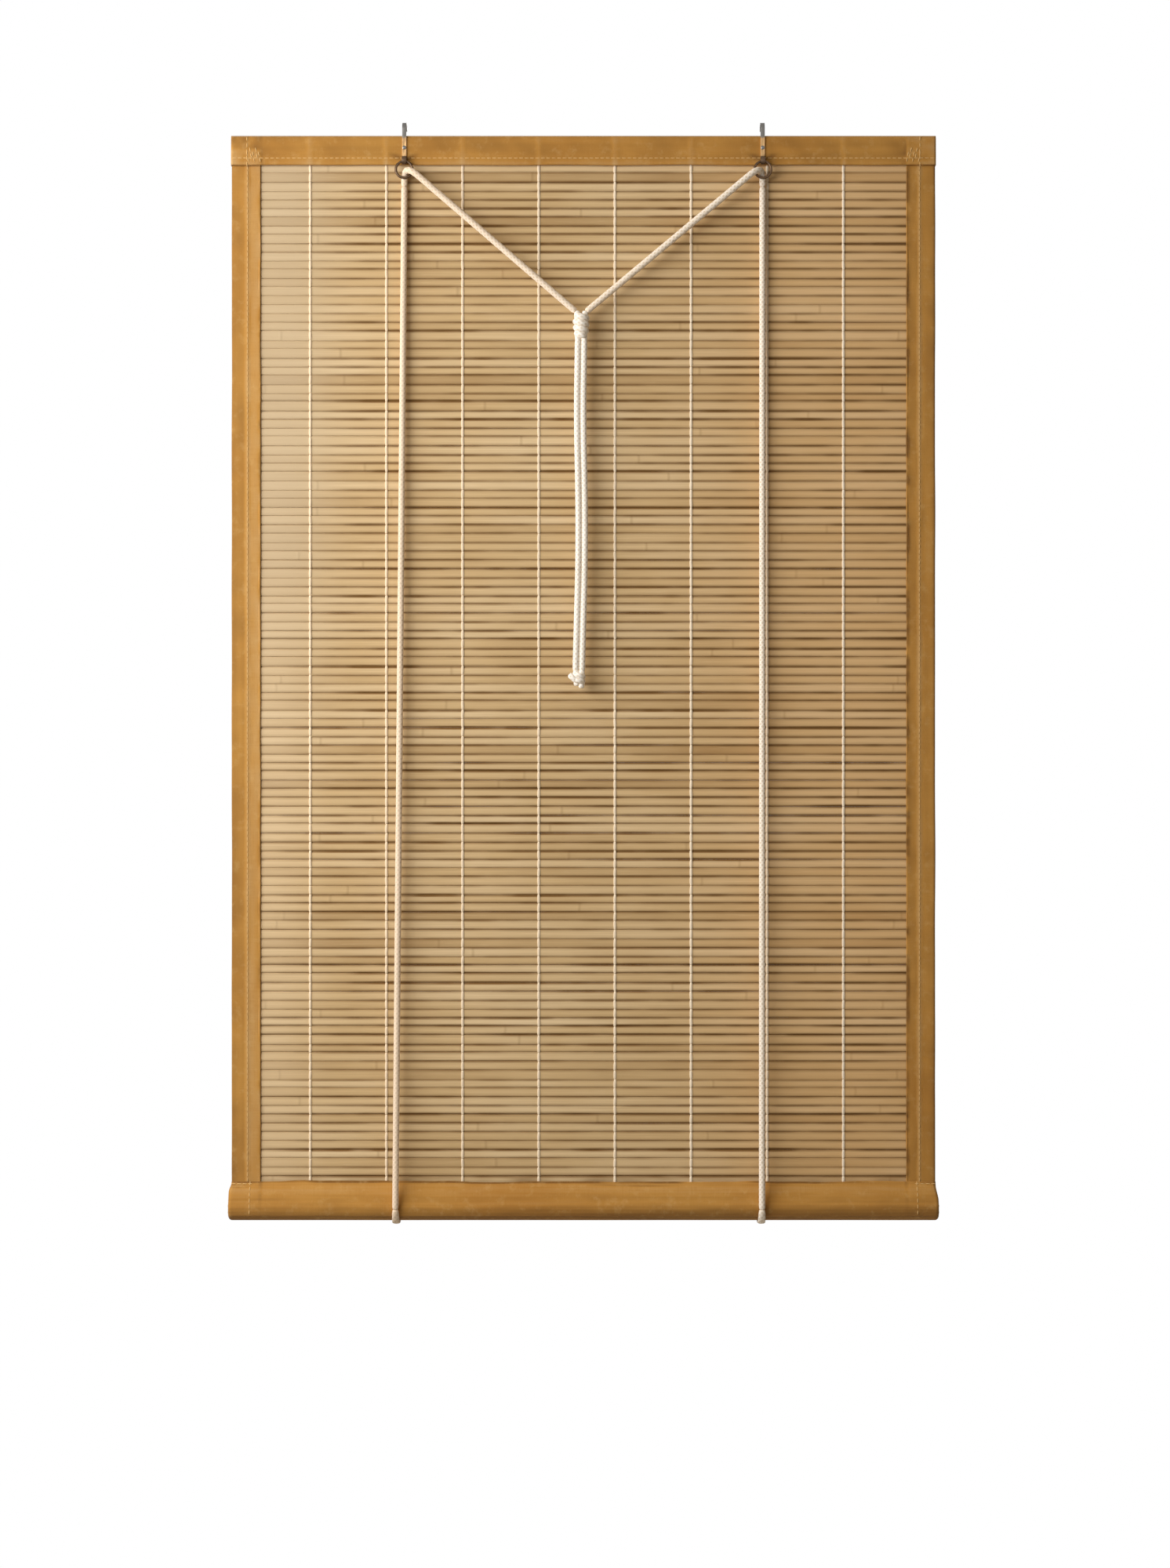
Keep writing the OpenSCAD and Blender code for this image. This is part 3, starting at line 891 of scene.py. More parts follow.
def coil(centre, radius, above, below, turns, start, taper=0.0, fine=20):
    """A line that winds down round a vertical axis, drawn in towards its foot by taper."""
    steps = round(turns * fine)
    made = []
    for i in range(steps + 1):
        share = i / steps
        angle = start + 2 * math.pi * turns * share
        reach = radius * (0.86 + 0.14 * math.sin(math.pi * share)) * (1 - taper * share)
        made.append(
            Vector(
                (
                    centre.x + reach * math.cos(angle),
                    centre.y + reach * math.sin(angle),
                    centre.z + above - (above + below) * share,
                )
            )
        )
    return made


def follow_lift(piece, top, foot):
    """A piece of the hanging mat, carried by the head with a mesh of its own; the share it would
    keep as the hem comes up is worked out but not used.
    """
    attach(piece, "head")
    keep = (foot + LIFT - top) / (foot - top)
    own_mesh(piece)


# Geometry Nodes


def new_tree(name, inputs):
    """An empty tree with a geometry in and out, and named inputs for its sizes."""
    group = bpy.data.node_groups.new(name, "GeometryNodeTree")
    group.interface.new_socket("Geometry", in_out="INPUT", socket_type="NodeSocketGeometry")
    for label, kind in inputs.items():
        group.interface.new_socket(label, in_out="INPUT", socket_type="NodeSocket" + kind)
    group.interface.new_socket("Geometry", in_out="OUTPUT", socket_type="NodeSocketGeometry")
    tree = Tree(group)
    source = tree.node("NodeGroupInput").socket.node
    given = {socket.name: Wire(tree, socket) for socket in source.outputs if socket.name}
    return tree, given


def end_tree(tree, shape, finish):
    """Ends a tree in Realize Instances and Set Material."""
    shape = tree.node("GeometryNodeRealizeInstances", {}, {"Geometry": shape})
    shape = tree.node("GeometryNodeSetMaterial", {}, {"Geometry": shape, "Material": finish})
    tree.node("NodeGroupOutput", {}, {0: shape})


def grown(name, base, tree, values):
    """Runs a tree on a base object and keeps the result as that object's plain mesh."""
    base.name = name
    modifier = base.modifiers.new("make", "NODES")
    modifier.node_group = tree.group
    for item in tree.group.interface.items_tree:
        if item.in_out == "INPUT" and item.name in values:
            modifier[item.identifier] = values[item.name]
    depsgraph = bpy.context.evaluated_depsgraph_get()
    made = bpy.data.meshes.new_from_object(base.evaluated_get(depsgraph))
    base.modifiers.clear()
    base.data = made
    made.name = name
    return base


def slat_tree():
    """Rows of slats down the mat, each with its own tone, sway and groove."""
    tree, given = new_tree(
        "slat rows",
        {
            "Count": "Int",
            "Top": "Float",
            "Pitch": "Float",
            "Wander": "Float",
            "Sway": "Float",
            "Seed": "Int",
            "Finish": "Material",
        },
    )
    rows = tree.node(
        "GeometryNodeMeshLine",
        {"mode": "OFFSET"},
        {
            "Count": given["Count"],
            "Start Location": tree.join(0.0, 0.0, given["Top"]),
            "Offset": tree.join(0.0, 0.0, -given["Pitch"]),
        },
    )
    shape = tree.node(
        "GeometryNodeInstanceOnPoints", {}, {"Points": rows, "Instance": given["Geometry"]}
    )
    tone = tree.node(
        "FunctionNodeRandomValue", {"data_type": "FLOAT"}, {2: 0.0, 3: 1.0, 8: given["Seed"]}, 1
    )

    def keep(geometry, domain, name, value):
        return tree.node(
            "GeometryNodeStoreNamedAttribute",
            {"data_type": "FLOAT", "domain": domain},
            {"Geometry": geometry, "Name": name, "Value": value},
        )

    def stored(name):
        return tree.node("GeometryNodeInputNamedAttribute", {"data_type": "FLOAT"}, {"Name": name})

    def chance(number):
        return tree.node("ShaderNodeTexWhiteNoise", {"noise_dimensions": "1D"}, {"W": number})

    shape = keep(shape, "INSTANCE", "slat_tone", tone)
    shape = keep(shape, "INSTANCE", "slat_row", tree.node("GeometryNodeInputIndex"))
    shape = tree.node("GeometryNodeRealizeInstances", {}, {"Geometry": shape})
    own = stored("slat_tone")
    face = stored("slat_face")
    edge = stored("slat_edge")
    rise = stored("slat_rise")
    x = tree.split(tree.node("GeometryNodeInputPosition"))[0]
    lower = 1.0 - rise.ease(-0.01 * MM, 0.01 * MM)
    groove = stored("slat_row") + lower + given["Seed"]
    share = abs(rise) / SLAT_LIP
    run = tree.cloud(tree.join(x * 7.0, groove * 8.3, 1.0), 1.0, 2.0) - 0.5
    jump = chance(groove * 1.7) - 0.5
    loose = chance(groove * 2.3 + 91.0) ** 1.4
    gape = tree.cloud(tree.join(x * 6.0, groove * 5.9, 9.0), 1.0, 1.0).ease(0.3, 0.75)
    width = loose * (gape * 0.7 + 0.3)
    shape = keep(shape, "POINT", "slat_open", width)
    shape = keep(shape, "POINT", "slat_groove", groove)
    pull = (1.0 - lower * 2.0) * (width * (0.62 * MM) - 0.1 * MM)
    up = face * share * (run * given["Wander"] + jump * (2.0 * MM) - pull)
    bow = tree.cloud(tree.join(x * 4.0, own * 47.0, 5.0), 1.0, 1.0) - 0.5
    fill = face * edge * (1.0 - width) * (-0.42 * MM)
    offset = tree.join(0.0, bow * given["Sway"] + fill, up)
    shape = tree.node("GeometryNodeSetPosition", {}, {"Geometry": shape, "Offset": offset})
    end_tree(tree, shape, given["Finish"])
    return tree


def wrap_tree():
    """One thread's wraps, one for each slat, down the mat."""
    tree, given = new_tree(
        "thread wraps",
        {
            "Count": "Int",
            "Across": "Float",
            "Top": "Float",
            "Pitch": "Float",
            "Seed": "Int",
            "Finish": "Material",
        },
    )
    rows = tree.node(
        "GeometryNodeMeshLine",
        {"mode": "OFFSET"},
        {
            "Count": given["Count"],
            "Start Location": tree.join(given["Across"], 0.0, given["Top"]),
            "Offset": tree.join(0.0, 0.0, -given["Pitch"]),
        },
    )
    lean = tree.node(
        "FunctionNodeRandomValue",
        {"data_type": "FLOAT"},
        {2: -0.045, 3: 0.045, 8: given["Seed"]},
        1,
    )
    shape = tree.node(
        "GeometryNodeInstanceOnPoints",
        {},
        {
            "Points": rows,
            "Instance": given["Geometry"],
            "Rotation": tree.join(0.0, lean, 0.0),
        },
    )
    end_tree(tree, shape, given["Finish"])
    return tree


def stitch_tree():
    """Stitches at even steps along every line of a mesh."""
    tree, given = new_tree(
        "stitch rows",
        {"Pitch": "Float", "Length": "Float", "Radius": "Float", "Finish": "Material"},
    )
    rows = tree.node("GeometryNodeMeshToCurve", {}, {"Mesh": given["Geometry"]})
    rows = tree.node(
        "GeometryNodeResampleCurve",
        {"mode": "LENGTH"},
        {"Curve": rows, "Length": given["Pitch"]},
    )
    ball = tree.node(
        "GeometryNodeMeshUVSphere", {}, {"Segments": 6, "Rings": 4, "Radius": 1.0}
    )
    size = tree.join(given["Radius"], given["Radius"], given["Length"] * 0.5)
    thread = tree.node("GeometryNodeTransform", {}, {"Geometry": ball, "Scale": size})
    turn = tree.node(
        "FunctionNodeAlignRotationToVector",
        {"axis": "Z"},
        {"Vector": tree.node("GeometryNodeInputTangent")},
    )
    shape = tree.node(
        "GeometryNodeInstanceOnPoints",
        {},
        {"Points": rows, "Instance": thread, "Rotation": turn},
    )
    end_tree(tree, shape, given["Finish"])
    return tree


# Surfaces of the bindings, so that the seams lie on them


def head_front(x, z):
    """How far the front of the top binding stands out from its flat face."""
    relief = bpy.context.scene.blind_sizes.cloth_relief
    rise = 0.55 * ripple(x * 26, z * 34, 1.3) + 0.35 * ripple(x * 70 + z * 60, z * 50, 4.1)
    for thread in THREAD_X:
        rise += 0.75 * bell(x, thread, 1.9 * MM)
    press = 1 - bell(abs(x), HANGER_X, 7 * MM)
    seam = 1 - 0.75 * bell(z, HEAD_SEAM, 1.6 * MM)
    corner = ease(abs(x), TAPE_EDGE - 14 * MM, TAPE_EDGE)
    rise += 0.6 * corner * ripple(x * 140 + z * 30, z * 40, 0.5)
    return relief * rise * press * seam + TAPE_LAYER * tape_end(x, z)


def head_rise(x, z, face):
    """How far the top binding stands out on a face: its back is calmer than its front."""
    return head_front(x, z) if face < 0 else 0.6 * head_front(x + 0.7, z)


def tape_end(x, z):
    """1 where the end of a side tape lies on the top binding, 0 elsewhere."""
    inner = TAPE_EDGE + 0.7 * MM * ripple(z * 60, x, 3.0)
    under = 1 - ease(z, HEAD_FOOT + 10 * MM, HEAD_FOOT + 16 * MM) * (x < 0)
    return under * ease(abs(x), inner - 0.4 * MM, inner + 0.3 * MM)


def head_tone(x, z, rise):
    """How much paler (below 0) or darker (above 0) the top binding's cloth is painted: painted light
    and shade of its relief, and some random tone.
    """
    # Painted shade where the wrinkles sink and painted light where they rise, with a random streak
    tone = 0.2 - 0.6 * rise / bpy.context.scene.blind_sizes.cloth_relief
    tone = clamp(tone, -0.2, 0.5) + 0.25 * ripple(x * 5, z * 220, 2.5)
    # Painted highlight where the cloth rises over each warp thread below the seam
    under = 1 - ease(z, HEAD_SEAM - 1 * MM, HEAD_SEAM + 3 * MM)
    for thread in THREAD_X:
        tone -= 0.5 * under * bell(x, thread, 1.6 * MM)
    # Painted shade along the edge of each side tape's end, and random mottling at the corners
    edge = bell(abs(x), TAPE_EDGE - 0.5 * MM, 0.9 * MM)
    corner = ease(abs(x), TAPE_EDGE - 8 * MM, TAPE_EDGE)
    tone += 0.55 * edge * (0.5 + ripple(z * 120, x, 0.7))
    tone += 0.7 * corner * ripple(x * 150, z * 160, 6.6)
    # Paler along the lower edge
    tone -= 0.3 * bell(z, HEAD_FOOT + 1.5 * MM, 1.6 * MM)
    # Painted shade in the creases beside each hanger's eye
    beside = abs(abs(x) - HANGER_X)
    wing = bell(z, HEAD_FOOT + 5 * MM + 0.3 * beside, 2 * MM)
    return clamp(tone + 0.9 * wing * bell(beside, 6 * MM, 5 * MM))


def side_front(out, z, s):
    """How far the front of a side binding stands out, by the distance from its outer edge."""
    relief = bpy.context.scene.blind_sizes.cloth_relief
    place = out + 0.9 * max(0, s)
    rise = 0.5 * ripple(place * 60, z * 30, 7.7)
    rise += 0.35 * ripple(place * 90 + z * 40, z * 85, 2.2)
    seam = bell(out, SIDE_SEAM, 1.6 * MM)
    pucker = 0.35 * ripple(z * 160, 0.3 + s, 5.0)
    slat = 0.12 * math.cos(2 * math.pi * (MAT_HIGH.z - z) / SLAT_PITCH)
    drop = EDGE_DROP * ease(out, SIDE_SEAM + 1.5 * MM, SIDE_W)
    return relief * (rise * (1 - seam) + slat + seam * (pucker + 0.9)) - drop


def side_drift(out, z, s):
    """How far a side binding runs off its straight line, most at its inner edge."""
    return 0.4 * MM * ripple(z * 24, s * 3.1, 6.0) * (out / SIDE_W) ** 3


def side_tone(out, z, s):
    """How much paler (below 0) or darker (above 0) a side binding's cloth is painted: painted light
    and shade, and some random tone.
    """
    tone = 0.17 - 0.06 * s
    tone += 0.3 * ripple(out * 160, z * 7, 2.0 + s) + 0.25 * ripple(out * 60, z * 60, 9.0 + s)
    # Painted highlight on the seam's ridge, and a painted sheen on the left tape's inner strip
    tone -= (0.85 + 0.4 * ripple(z * 25, s, 8.0)) * bell(out, SIDE_SEAM, 1.9 * MM)
    tone -= (0.3 - 0.3 * s) * ease(out, SIDE_SEAM, SIDE_SEAM + 3 * MM)
    # Darker towards the outer edge
    tone += 0.45 * (1 - ease(out, 0.0, 3.5 * MM))
    # Painted shadow in blotches along the inner edge, where the tape stands off the slats, deeper on
    # the right
    mark = max(0.0, 0.25 + ripple(z * 46, s * 2.0, 3.3) + 0.5 * ripple(z * 130, s, 1.1))
    tone += (1.3 + 0.5 * s) * mark * ease(out, SIDE_W - 4.5 * MM, SIDE_W - 1.2 * MM)
    # Painted shade in a fold beside the seam
    fold = max(0.0, ripple(z * 33, 4.0 + s, 0.4)) * bell(out, SIDE_SEAM + 2.2 * MM, MM)
    return clamp(tone + 0.9 * fold)


def hem_line():
    """Profile of one flank of the hem: distance from the middle and height over the axis."""
    flank_steps, turn_steps = 16, 12
    radius = COVER_R - 0.02 * MM
    neck, rise = HEM_NECK, HEM_TOP - ROD_Z
    reach = math.hypot(neck, rise)
    turn = math.atan2(neck, rise) + math.acos(radius / reach)
    foot = (radius * math.sin(turn), radius * math.cos(turn))
    made = []
    for i in range(flank_steps + 1):
        share = (i / flank_steps) ** 1.6
        bulge = 0.9 * MM * math.sin(math.pi * share) ** 1.3
        made.append(
            (
                neck + (foot[0] - neck) * share + bulge * math.sin(turn),
                rise + (foot[1] - rise) * share + bulge * math.cos(turn),
            )
        )
    for i in range(1, turn_steps + 1):
        angle = turn + (math.radians(128) - turn) * i / turn_steps
        made.append((radius * math.sin(angle), radius * math.cos(angle)))
    return made


def hem_relief(x, share):
    """Puckers of the hem's flank, deepest just under its seam, gone where it meets the roller."""
    relief = bpy.context.scene.blind_sizes.cloth_relief
    pull = math.exp(-share * 3.0)
    soft = 0.6 * ripple(x * 22, share * 3, 3.4) * (1 - share * 0.8)
    layer = TAPE_LAYER * ease(abs(x), TAPE_EDGE - 0.4 * MM, TAPE_EDGE + 0.3 * MM)
    rise = relief * (soft + 0.6 * pull * ripple(x * 95, 1.7, share * 2)) + layer
    return rise * hem_fade(share)


def hem_fade(share):
    """1 on the hem's flank, 0 where it lies on the roller."""
    return 1 - ease(share, 0.4, 0.62)


def hem_wave(x, share, face):
    """How far the hem's upper edge runs off its straight line."""
    slow = 1.2 * ripple(x * 13, 0.4, 2.0 + face)
    quick = 1.0 * max(0.0, ripple(x * 31, 0.9, 4.0 + face)) ** 0.8
    held = 1 - ease(abs(x), TAPE_EDGE - 20 * MM, TAPE_EDGE)
    return MM * (slow + quick) * (0.3 + 0.7 * held) * (1 - share) ** 9


def hem_flare(x, share):
    """How far the hem's ends spread past the side bindings, sooner on the left."""
    full = ease(share, 0.12, 0.55) if x > 0 else ease(share, 0.04, 0.3)
    return math.copysign(1.9 * MM * full * ease(abs(x), HALF_W - 25 * MM, HALF_W), x)


def hem_tone(x, share, face):
    """How much paler (below 0) or darker (above 0) the hem's cloth is painted: painted light and
    shade, and some random tone.
    """
    tone = 0.05 + 0.3 * ripple(x * 6, share * 30, 1.5 + face)
    tone += 0.2 * ripple(x * 40, share * 9, 4.0)
    # Painted shade in a broken wavy line along the upper edge
    edge = max(0.0, 0.35 + ripple(x * 13, 0.2, face) + 0.4 * ripple(x * 60, 0.7, face))
    tone += 2.4 * edge * (1 - ease(share, 0.02, 0.075))
    # Painted shade in two broken crease lines
    for level, number in ((0.1, 1.0), (0.17, 5.0)):
        line = level + 0.035 * ripple(x * 8, number, face)
        held = max(0.0, ripple(x * 11, number + 2.0, face) - 0.05)
        tone += 2.2 * held * bell(share, line, 0.022)
    # Painted light on the upper part of the flank
    tone -= 0.3 * bell(share, 0.22, 0.1)
    # Painted shade along the edges of the side tapes' ends
    tone += 0.5 * bell(abs(x), TAPE_EDGE - 0.5 * MM, 0.9 * MM) * (1 - share)
    # Painted shade under the hem, deeper towards the right
    tone += (0.5 + 0.25 * x / HALF_W) * ease(share, 0.55, 0.9)
    return clamp(tone)


# Stage


def make_floor(scene):
    """A pale slab, below the lowest place that the tails come to."""
    half = FLOOR_HALF
    square = ((-half, -half), (half, -half), (half, half), (-half, half))
    mesh = bpy.data.meshes.new("floor")
    mesh.from_pydata(
        [(x, y, z) for z in (FLOOR_TOP - FLOOR_DEEP, FLOOR_TOP) for x, y in square],
        [],
        [(3, 2, 1, 0), (4, 5, 6, 7), (0, 1, 5, 4), (1, 2, 6, 5), (2, 3, 7, 6), (3, 0, 4, 7)],
    )
    pale = Finish("pale floor")
    speck = pale.cloud(pale.place(), 30.0, 3.0)
    colour = pale.mix(speck * 0.15, screen(240, 239, 236), screen(226, 224, 220))
    mesh.materials.append(pale.surface({"Base Color": colour, "Roughness": 0.9}))
    floor = bpy.data.objects.new("floor", mesh)
    scene.collection.objects.link(floor)


def make_world(scene):
    """Soft warm light, more of it from above, and a white background that lights nothing."""
    world = bpy.data.worlds.new("studio")
    world.use_nodes = True
    scene.world = world
    world.node_tree.nodes.clear()
    sky = Tree(world.node_tree)
    path = sky.node("ShaderNodeLightPath").socket.node
    seen = Wire(sky, path.outputs["Is Camera Ray"])
    for ray in ("Is Glossy Ray", "Is Transmission Ray"):
        seen = seen.most(Wire(sky, path.outputs[ray]))
    aim = sky.split(sky.node("ShaderNodeTexCoord", {}, {}, "Generated"))[2]
    level = aim.ease(-0.5, 0.45) * 0.1 + aim.ease(0.6, 0.95) * 0.5 + 0.04
    soft = sky.node("ShaderNodeBackground", {}, {"Color": (1, 0.88, 0.7), "Strength": level})
    white = sky.node("ShaderNodeBackground", {}, {"Color": (1, 1, 1), "Strength": 1.0})
    blend = sky.node("ShaderNodeMixShader", {}, {0: seen, 1: soft, 2: white})
    sky.node("ShaderNodeOutputWorld", {}, {"Surface": blend})


def make_lamp(scene, name, place, size, power, colour):
    """An oval lamp that faces the middle of the blind."""
    light = bpy.data.lights.new(name, "AREA")
    light.shape = "ELLIPSE"
    light.size, light.size_y = size
    light.energy = power
    light.color = colour
    lamp = bpy.data.objects.new(name, light)
    lamp.location = place
    lamp.rotation_euler = (Vector(LAMP_AIM) - Vector(place)).to_track_quat("-Z", "Y").to_euler()
    scene.collection.objects.link(lamp)


def make_camera(scene):
    """A camera square to the blind, with the photo's frame."""
    lens = bpy.data.cameras.new("camera")
    lens.sensor_width = SENSOR
    lens.lens = SENSOR * -CAMERA_PLACE[1] / FRAME_HEIGHT
    camera = bpy.data.objects.new("camera", lens)
    camera.location = CAMERA_PLACE
    camera.rotation_euler = (math.radians(90), 0, 0)
    scene.collection.objects.link(camera)
    scene.camera = camera


class BLIND_OT_stage(bpy.types.Operator):
    """Make the floor, the light and the camera"""

    bl_idname = "blind.make_stage"
    bl_label = "Stage"

    def execute(self, context):
        scene = context.scene
        scene.view_settings.view_transform = "Standard"
        make_floor(scene)
        make_world(scene)
        for name, settings in LAMPS.items():
            make_lamp(scene, name, *settings)
        make_camera(scene)
        return {"FINISHED"}


# Cords


def near(centre, x, y, z):
    """A point beside a centre, its steps in millimetres."""
    return centre + Vector((x, y, z)) * MM


def declare_cord(line, step):
    """Measures a line and its even steps; the results are not kept."""
    length_of(line)
    evenly(line, step)


def ring_line(side):
    """Route of a pull cord from behind its ring to just over the joining knot."""
    s, ring = SIDES[side], RING[side]
    back = RING_BACK + CORD_R + 0.2 * MM
    points = [
        Vector((ring.x - s * inward * MM, back + (PULL_Y - back) * share, ring.z + up * MM))
        for inward, share, up in RING_STEPS
    ]
    join = Vector((JOINS[side][0] * MM, PULL_Y, JOINS[side][1] * MM))
    start = points[-1]
    return points + [start.lerp(join, share) for share in JOIN_SHARES]


def pressed(share):
    """How thin and how wide a bight is on its way under the roller, against a round cord."""
    low = math.sin(math.pi * share)
    return 1 + (PRESS_H / (2 * CORD_R) - 1) * low, 1 + (PRESS_W / (2 * CORD_R) - 1) * low


def make_pull_knot():
    """The wraps that join the two cords, with both strands through them."""
    wraps = coil(KNOT, 5.2 * MM, 9.2 * MM, 8.2 * MM, 3.4, math.radians(200), taper=0.3)
    strands = [[near(KNOT, 3.4 * s, 0, 13.5), near(KNOT, 2.6 * s, 0, -12.5)] for s in (-1, 1)]
    knot = cord_piece(
        "pull_knot_wraps", [wraps, *strands], CORD_R * 0.97, "pull_knot", finish="tail cord"
    )
    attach(knot, "pull")
    return knot


def make_tail_knot():
    """The small knot at the end of the tails, with one short end that stands out."""
    end = TAIL_KNOT
    wraps = coil(end, 3.4 * MM, 3.4 * MM, 3.4 * MM, 1.75, 2.6)
    stub = [near(end, -1.5, -2.2, -2.5), near(end, -4.5, -2.8, 0), near(end, -8, -2, 2.8)]
    strands = [
        [near(end, -2.4, 0, 7), near(end, -1.6, 0, -6.4)],
        [near(end, 2.6, 0, 7), near(end, 2.2, 0, -8.4)],
    ]
    knot = cord_piece(
        "tail_knot_wraps",
        [wraps, smooth_line(stub), *strands],
        CORD_R * 0.98,
        "tail_knot",
        finish="tail cord",
    )
    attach(knot, "pull")
    return knot


def make_pull_cord(side):
    """One cord from its ring to the joining knot."""
    route = smooth_line(ring_line(side))
    pull = cord_piece(f"{side}_pull_cord_braid", [route], CORD_R, f"{side}_pull_cord")
    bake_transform(pull)
    declare_cord(route, 2 * MM)


def make_tail(side):
    """One cord below the joining knot, laid against the other."""
    inward = -SIDES[side] * TAIL_CLOSE
    line = smooth_line([Vector(((x + inward) * MM, PULL_Y, z * MM)) for x, z in TAIL_STEPS[side]])
    node = f"{side}_cord_tail"
    tail = cord_piece(f"{node}_braid", [line], CORD_R, node, finish="tail cord")
    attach(tail, "pull")
    declare_cord(line, 2 * MM)


def make_front_cord(side):
    """A lift cord's run down the front, from its ring to the roller."""
    line = [ring_line(side)[0], Vector((FOOT_X[side], -BIGHT_R, CORD_FOOT))]
    front = cord_piece(f"{side}_front_cord_braid", [line], CORD_R, f"{side}_front_cord")
    follow_lift(front, line[0].z, line[1].z)
    declare_cord(line, 4 * MM)


def make_bight(side):
    """A lift cord's half turn under the roller, pressed flat at the bottom."""
    x, steps = FOOT_X[side], 40
    arc = [Vector((x, -BIGHT_R, CORD_FOOT))]
    for i in range(steps + 1):
        angle = math.pi * i / steps
        reach = BIGHT_R - CORD_R * (1 - pressed(i / steps)[0])
        arc.append(Vector((x, -reach * math.cos(angle), ROD_Z - reach * math.sin(angle))))
    arc.append(Vector((x, BIGHT_R, CORD_FOOT)))
    bight = cord_piece(f"{side}_cord_bight_braid", [arc], CORD_R, f"{side}_cord_bight", pressed)
    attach(bight, "hem")
    declare_cord(arc, 1.5 * MM)


def make_back_cord(side):
    """A lift cord's run up the back to its staple, and its knot over the staple."""
    stop, node = STOP_KNOT[side], f"{side}_back_cord"
    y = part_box(node)[0].y + CORD_R
    over = Vector((RING[side].x, y, stop.z - 5 * MM))
    bend = Vector((RING[side].x, y, middle(f"{side}_back_staple").z - 2 * CORD_R))
    foot = Vector((FOOT_X[side], BIGHT_R, CORD_FOOT))
    short = cord_piece(f"{node}_head_braid", [[over, bend]], CORD_R)
    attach(short, "head")
    back = cord_piece(f"{node}_braid", [[bend, foot]], CORD_R, node)
    follow_lift(back, bend.z, foot.z)
    declare_cord([bend, foot], 4 * MM)
    wraps = coil(stop, 2.4 * MM, 2.3 * MM, 2.3 * MM, 2.1, 1.2)
    strand = [Vector((stop.x, y, stop.z - 5 * MM)), near(stop, 0, 0, 4.6)]
    knot = cord_piece(
        f"{side}_stop_knot_wraps", [wraps, strand], CORD_R * 0.93, f"{side}_stop_knot"
    )
    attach(knot, "head")


class BLIND_OT_cords(bpy.types.Operator):
    """Make the lift cords, their knots and their tails"""

    bl_idname = "blind.make_cords"
    bl_label = "Cords"

    def execute(self, context):
        knot, end = make_pull_knot(), make_tail_knot()
        for side in SIDES:
            make_pull_cord(side)
            make_tail(side)
            make_front_cord(side)
            make_bight(side)
            make_back_cord(side)
        return {"FINISHED"}


# Mat


def slat_bar():
    """One slat across the mat, with the numbers that the slat tree and the finish read.

    A row of its section holds depth, height, 1 on the crowned front, and nearness to a groove.
    """
    back = SLAT_PITCH / 2 - 0.012 * MM
    half = [
        (SLAT_BACK, 3.3 * MM, 0, 0.05),
        (0.52 * MM, back, 0, 0.9),
        (0.3 * MM, back, 0, 1),
        (0.0, SLAT_LIP, 1, 1),
        (-0.24 * MM, 3.4 * MM, 1, 0.88),
        (-0.45 * MM, 2.95 * MM, 1, 0.62),
        (-0.68 * MM, 2.05 * MM, 1, 0.26),
    ]
    section = [(SLAT_BACK, 0.0, 0, 0)] + [(y, -z, face, edge) for y, z, face, edge in half]
    section += [(SLAT_CROWN, 0.0, 1, 0)] + half[::-1]
    points, numbers = [], {"slat_face": [], "slat_rise": [], "slat_edge": []}
    for i in range(SLAT_CUTS + 1):
        x = MAT_LOW.x + (MAT_HIGH.x - MAT_LOW.x) * i / SLAT_CUTS
        for y, z, face, edge in section:
            points.append((x, y, z))
            numbers["slat_face"].append(face)
            numbers["slat_rise"].append(z)
            numbers["slat_edge"].append(edge)
    faces = tube_faces(SLAT_CUTS + 1, len(section))
    slat = mesh_piece("slat", points, faces, "split bamboo", numbers)
    tidy_normals(slat)
    return slat


class BLIND_OT_slats(bpy.types.Operator):
    """Make the bamboo slats of the mat"""

    bl_idname = "blind.make_slats"
    bl_label = "Slats"

    def execute(self, context):
        sizes = context.scene.blind_sizes
        values = {
            "Count": sizes.slat_count,
            "Top": FIRST_SLAT,
            "Pitch": SLAT_PITCH,
            "Wander": sizes.groove_wander,
            "Sway": sizes.slat_sway,
            "Seed": sizes.seed,
            "Finish": finish_of("split bamboo"),
        }
        slats = grown("bamboo_slats", slat_bar(), slat_tree(), values)
        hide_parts("slat_mat")
        follow_lift(slats, HEAD_FOOT, MAT_LOW.z)
        return {"FINISHED"}


def wrap_pair():
    """A thread's two arches round one slat, front and back."""
    arch = WRAP_ARCH + [(depth, -share) for depth, share in WRAP_ARCH[-2::-1]]
    points, faces, grooves = [], [], []
    for face in FACES.values():
        first = len(points)
        for depth, share in arch:
            swell = 1.0 - 0.28 * abs(share) ** 3
            for k in range(WRAP_SIDES):
                angle = 2 * math.pi * k / WRAP_SIDES
                points.append(
                    (
                        WRAP_HALF_W * swell * math.cos(angle),
                        face * depth * MM + WRAP_HALF_T * math.sin(angle),
                        share * SLAT_PITCH / 2,
                    )
                )
                # Painted shade where the wrap turns into the gap between slats
                grooves.append(0.6 * abs(share) ** 6)
        faces += tube_faces(len(arch), WRAP_SIDES, first)
    wrap = mesh_piece("wrap", points, faces, "warp thread", {"groove": grooves})
    tidy_normals(wrap)
    return wrap


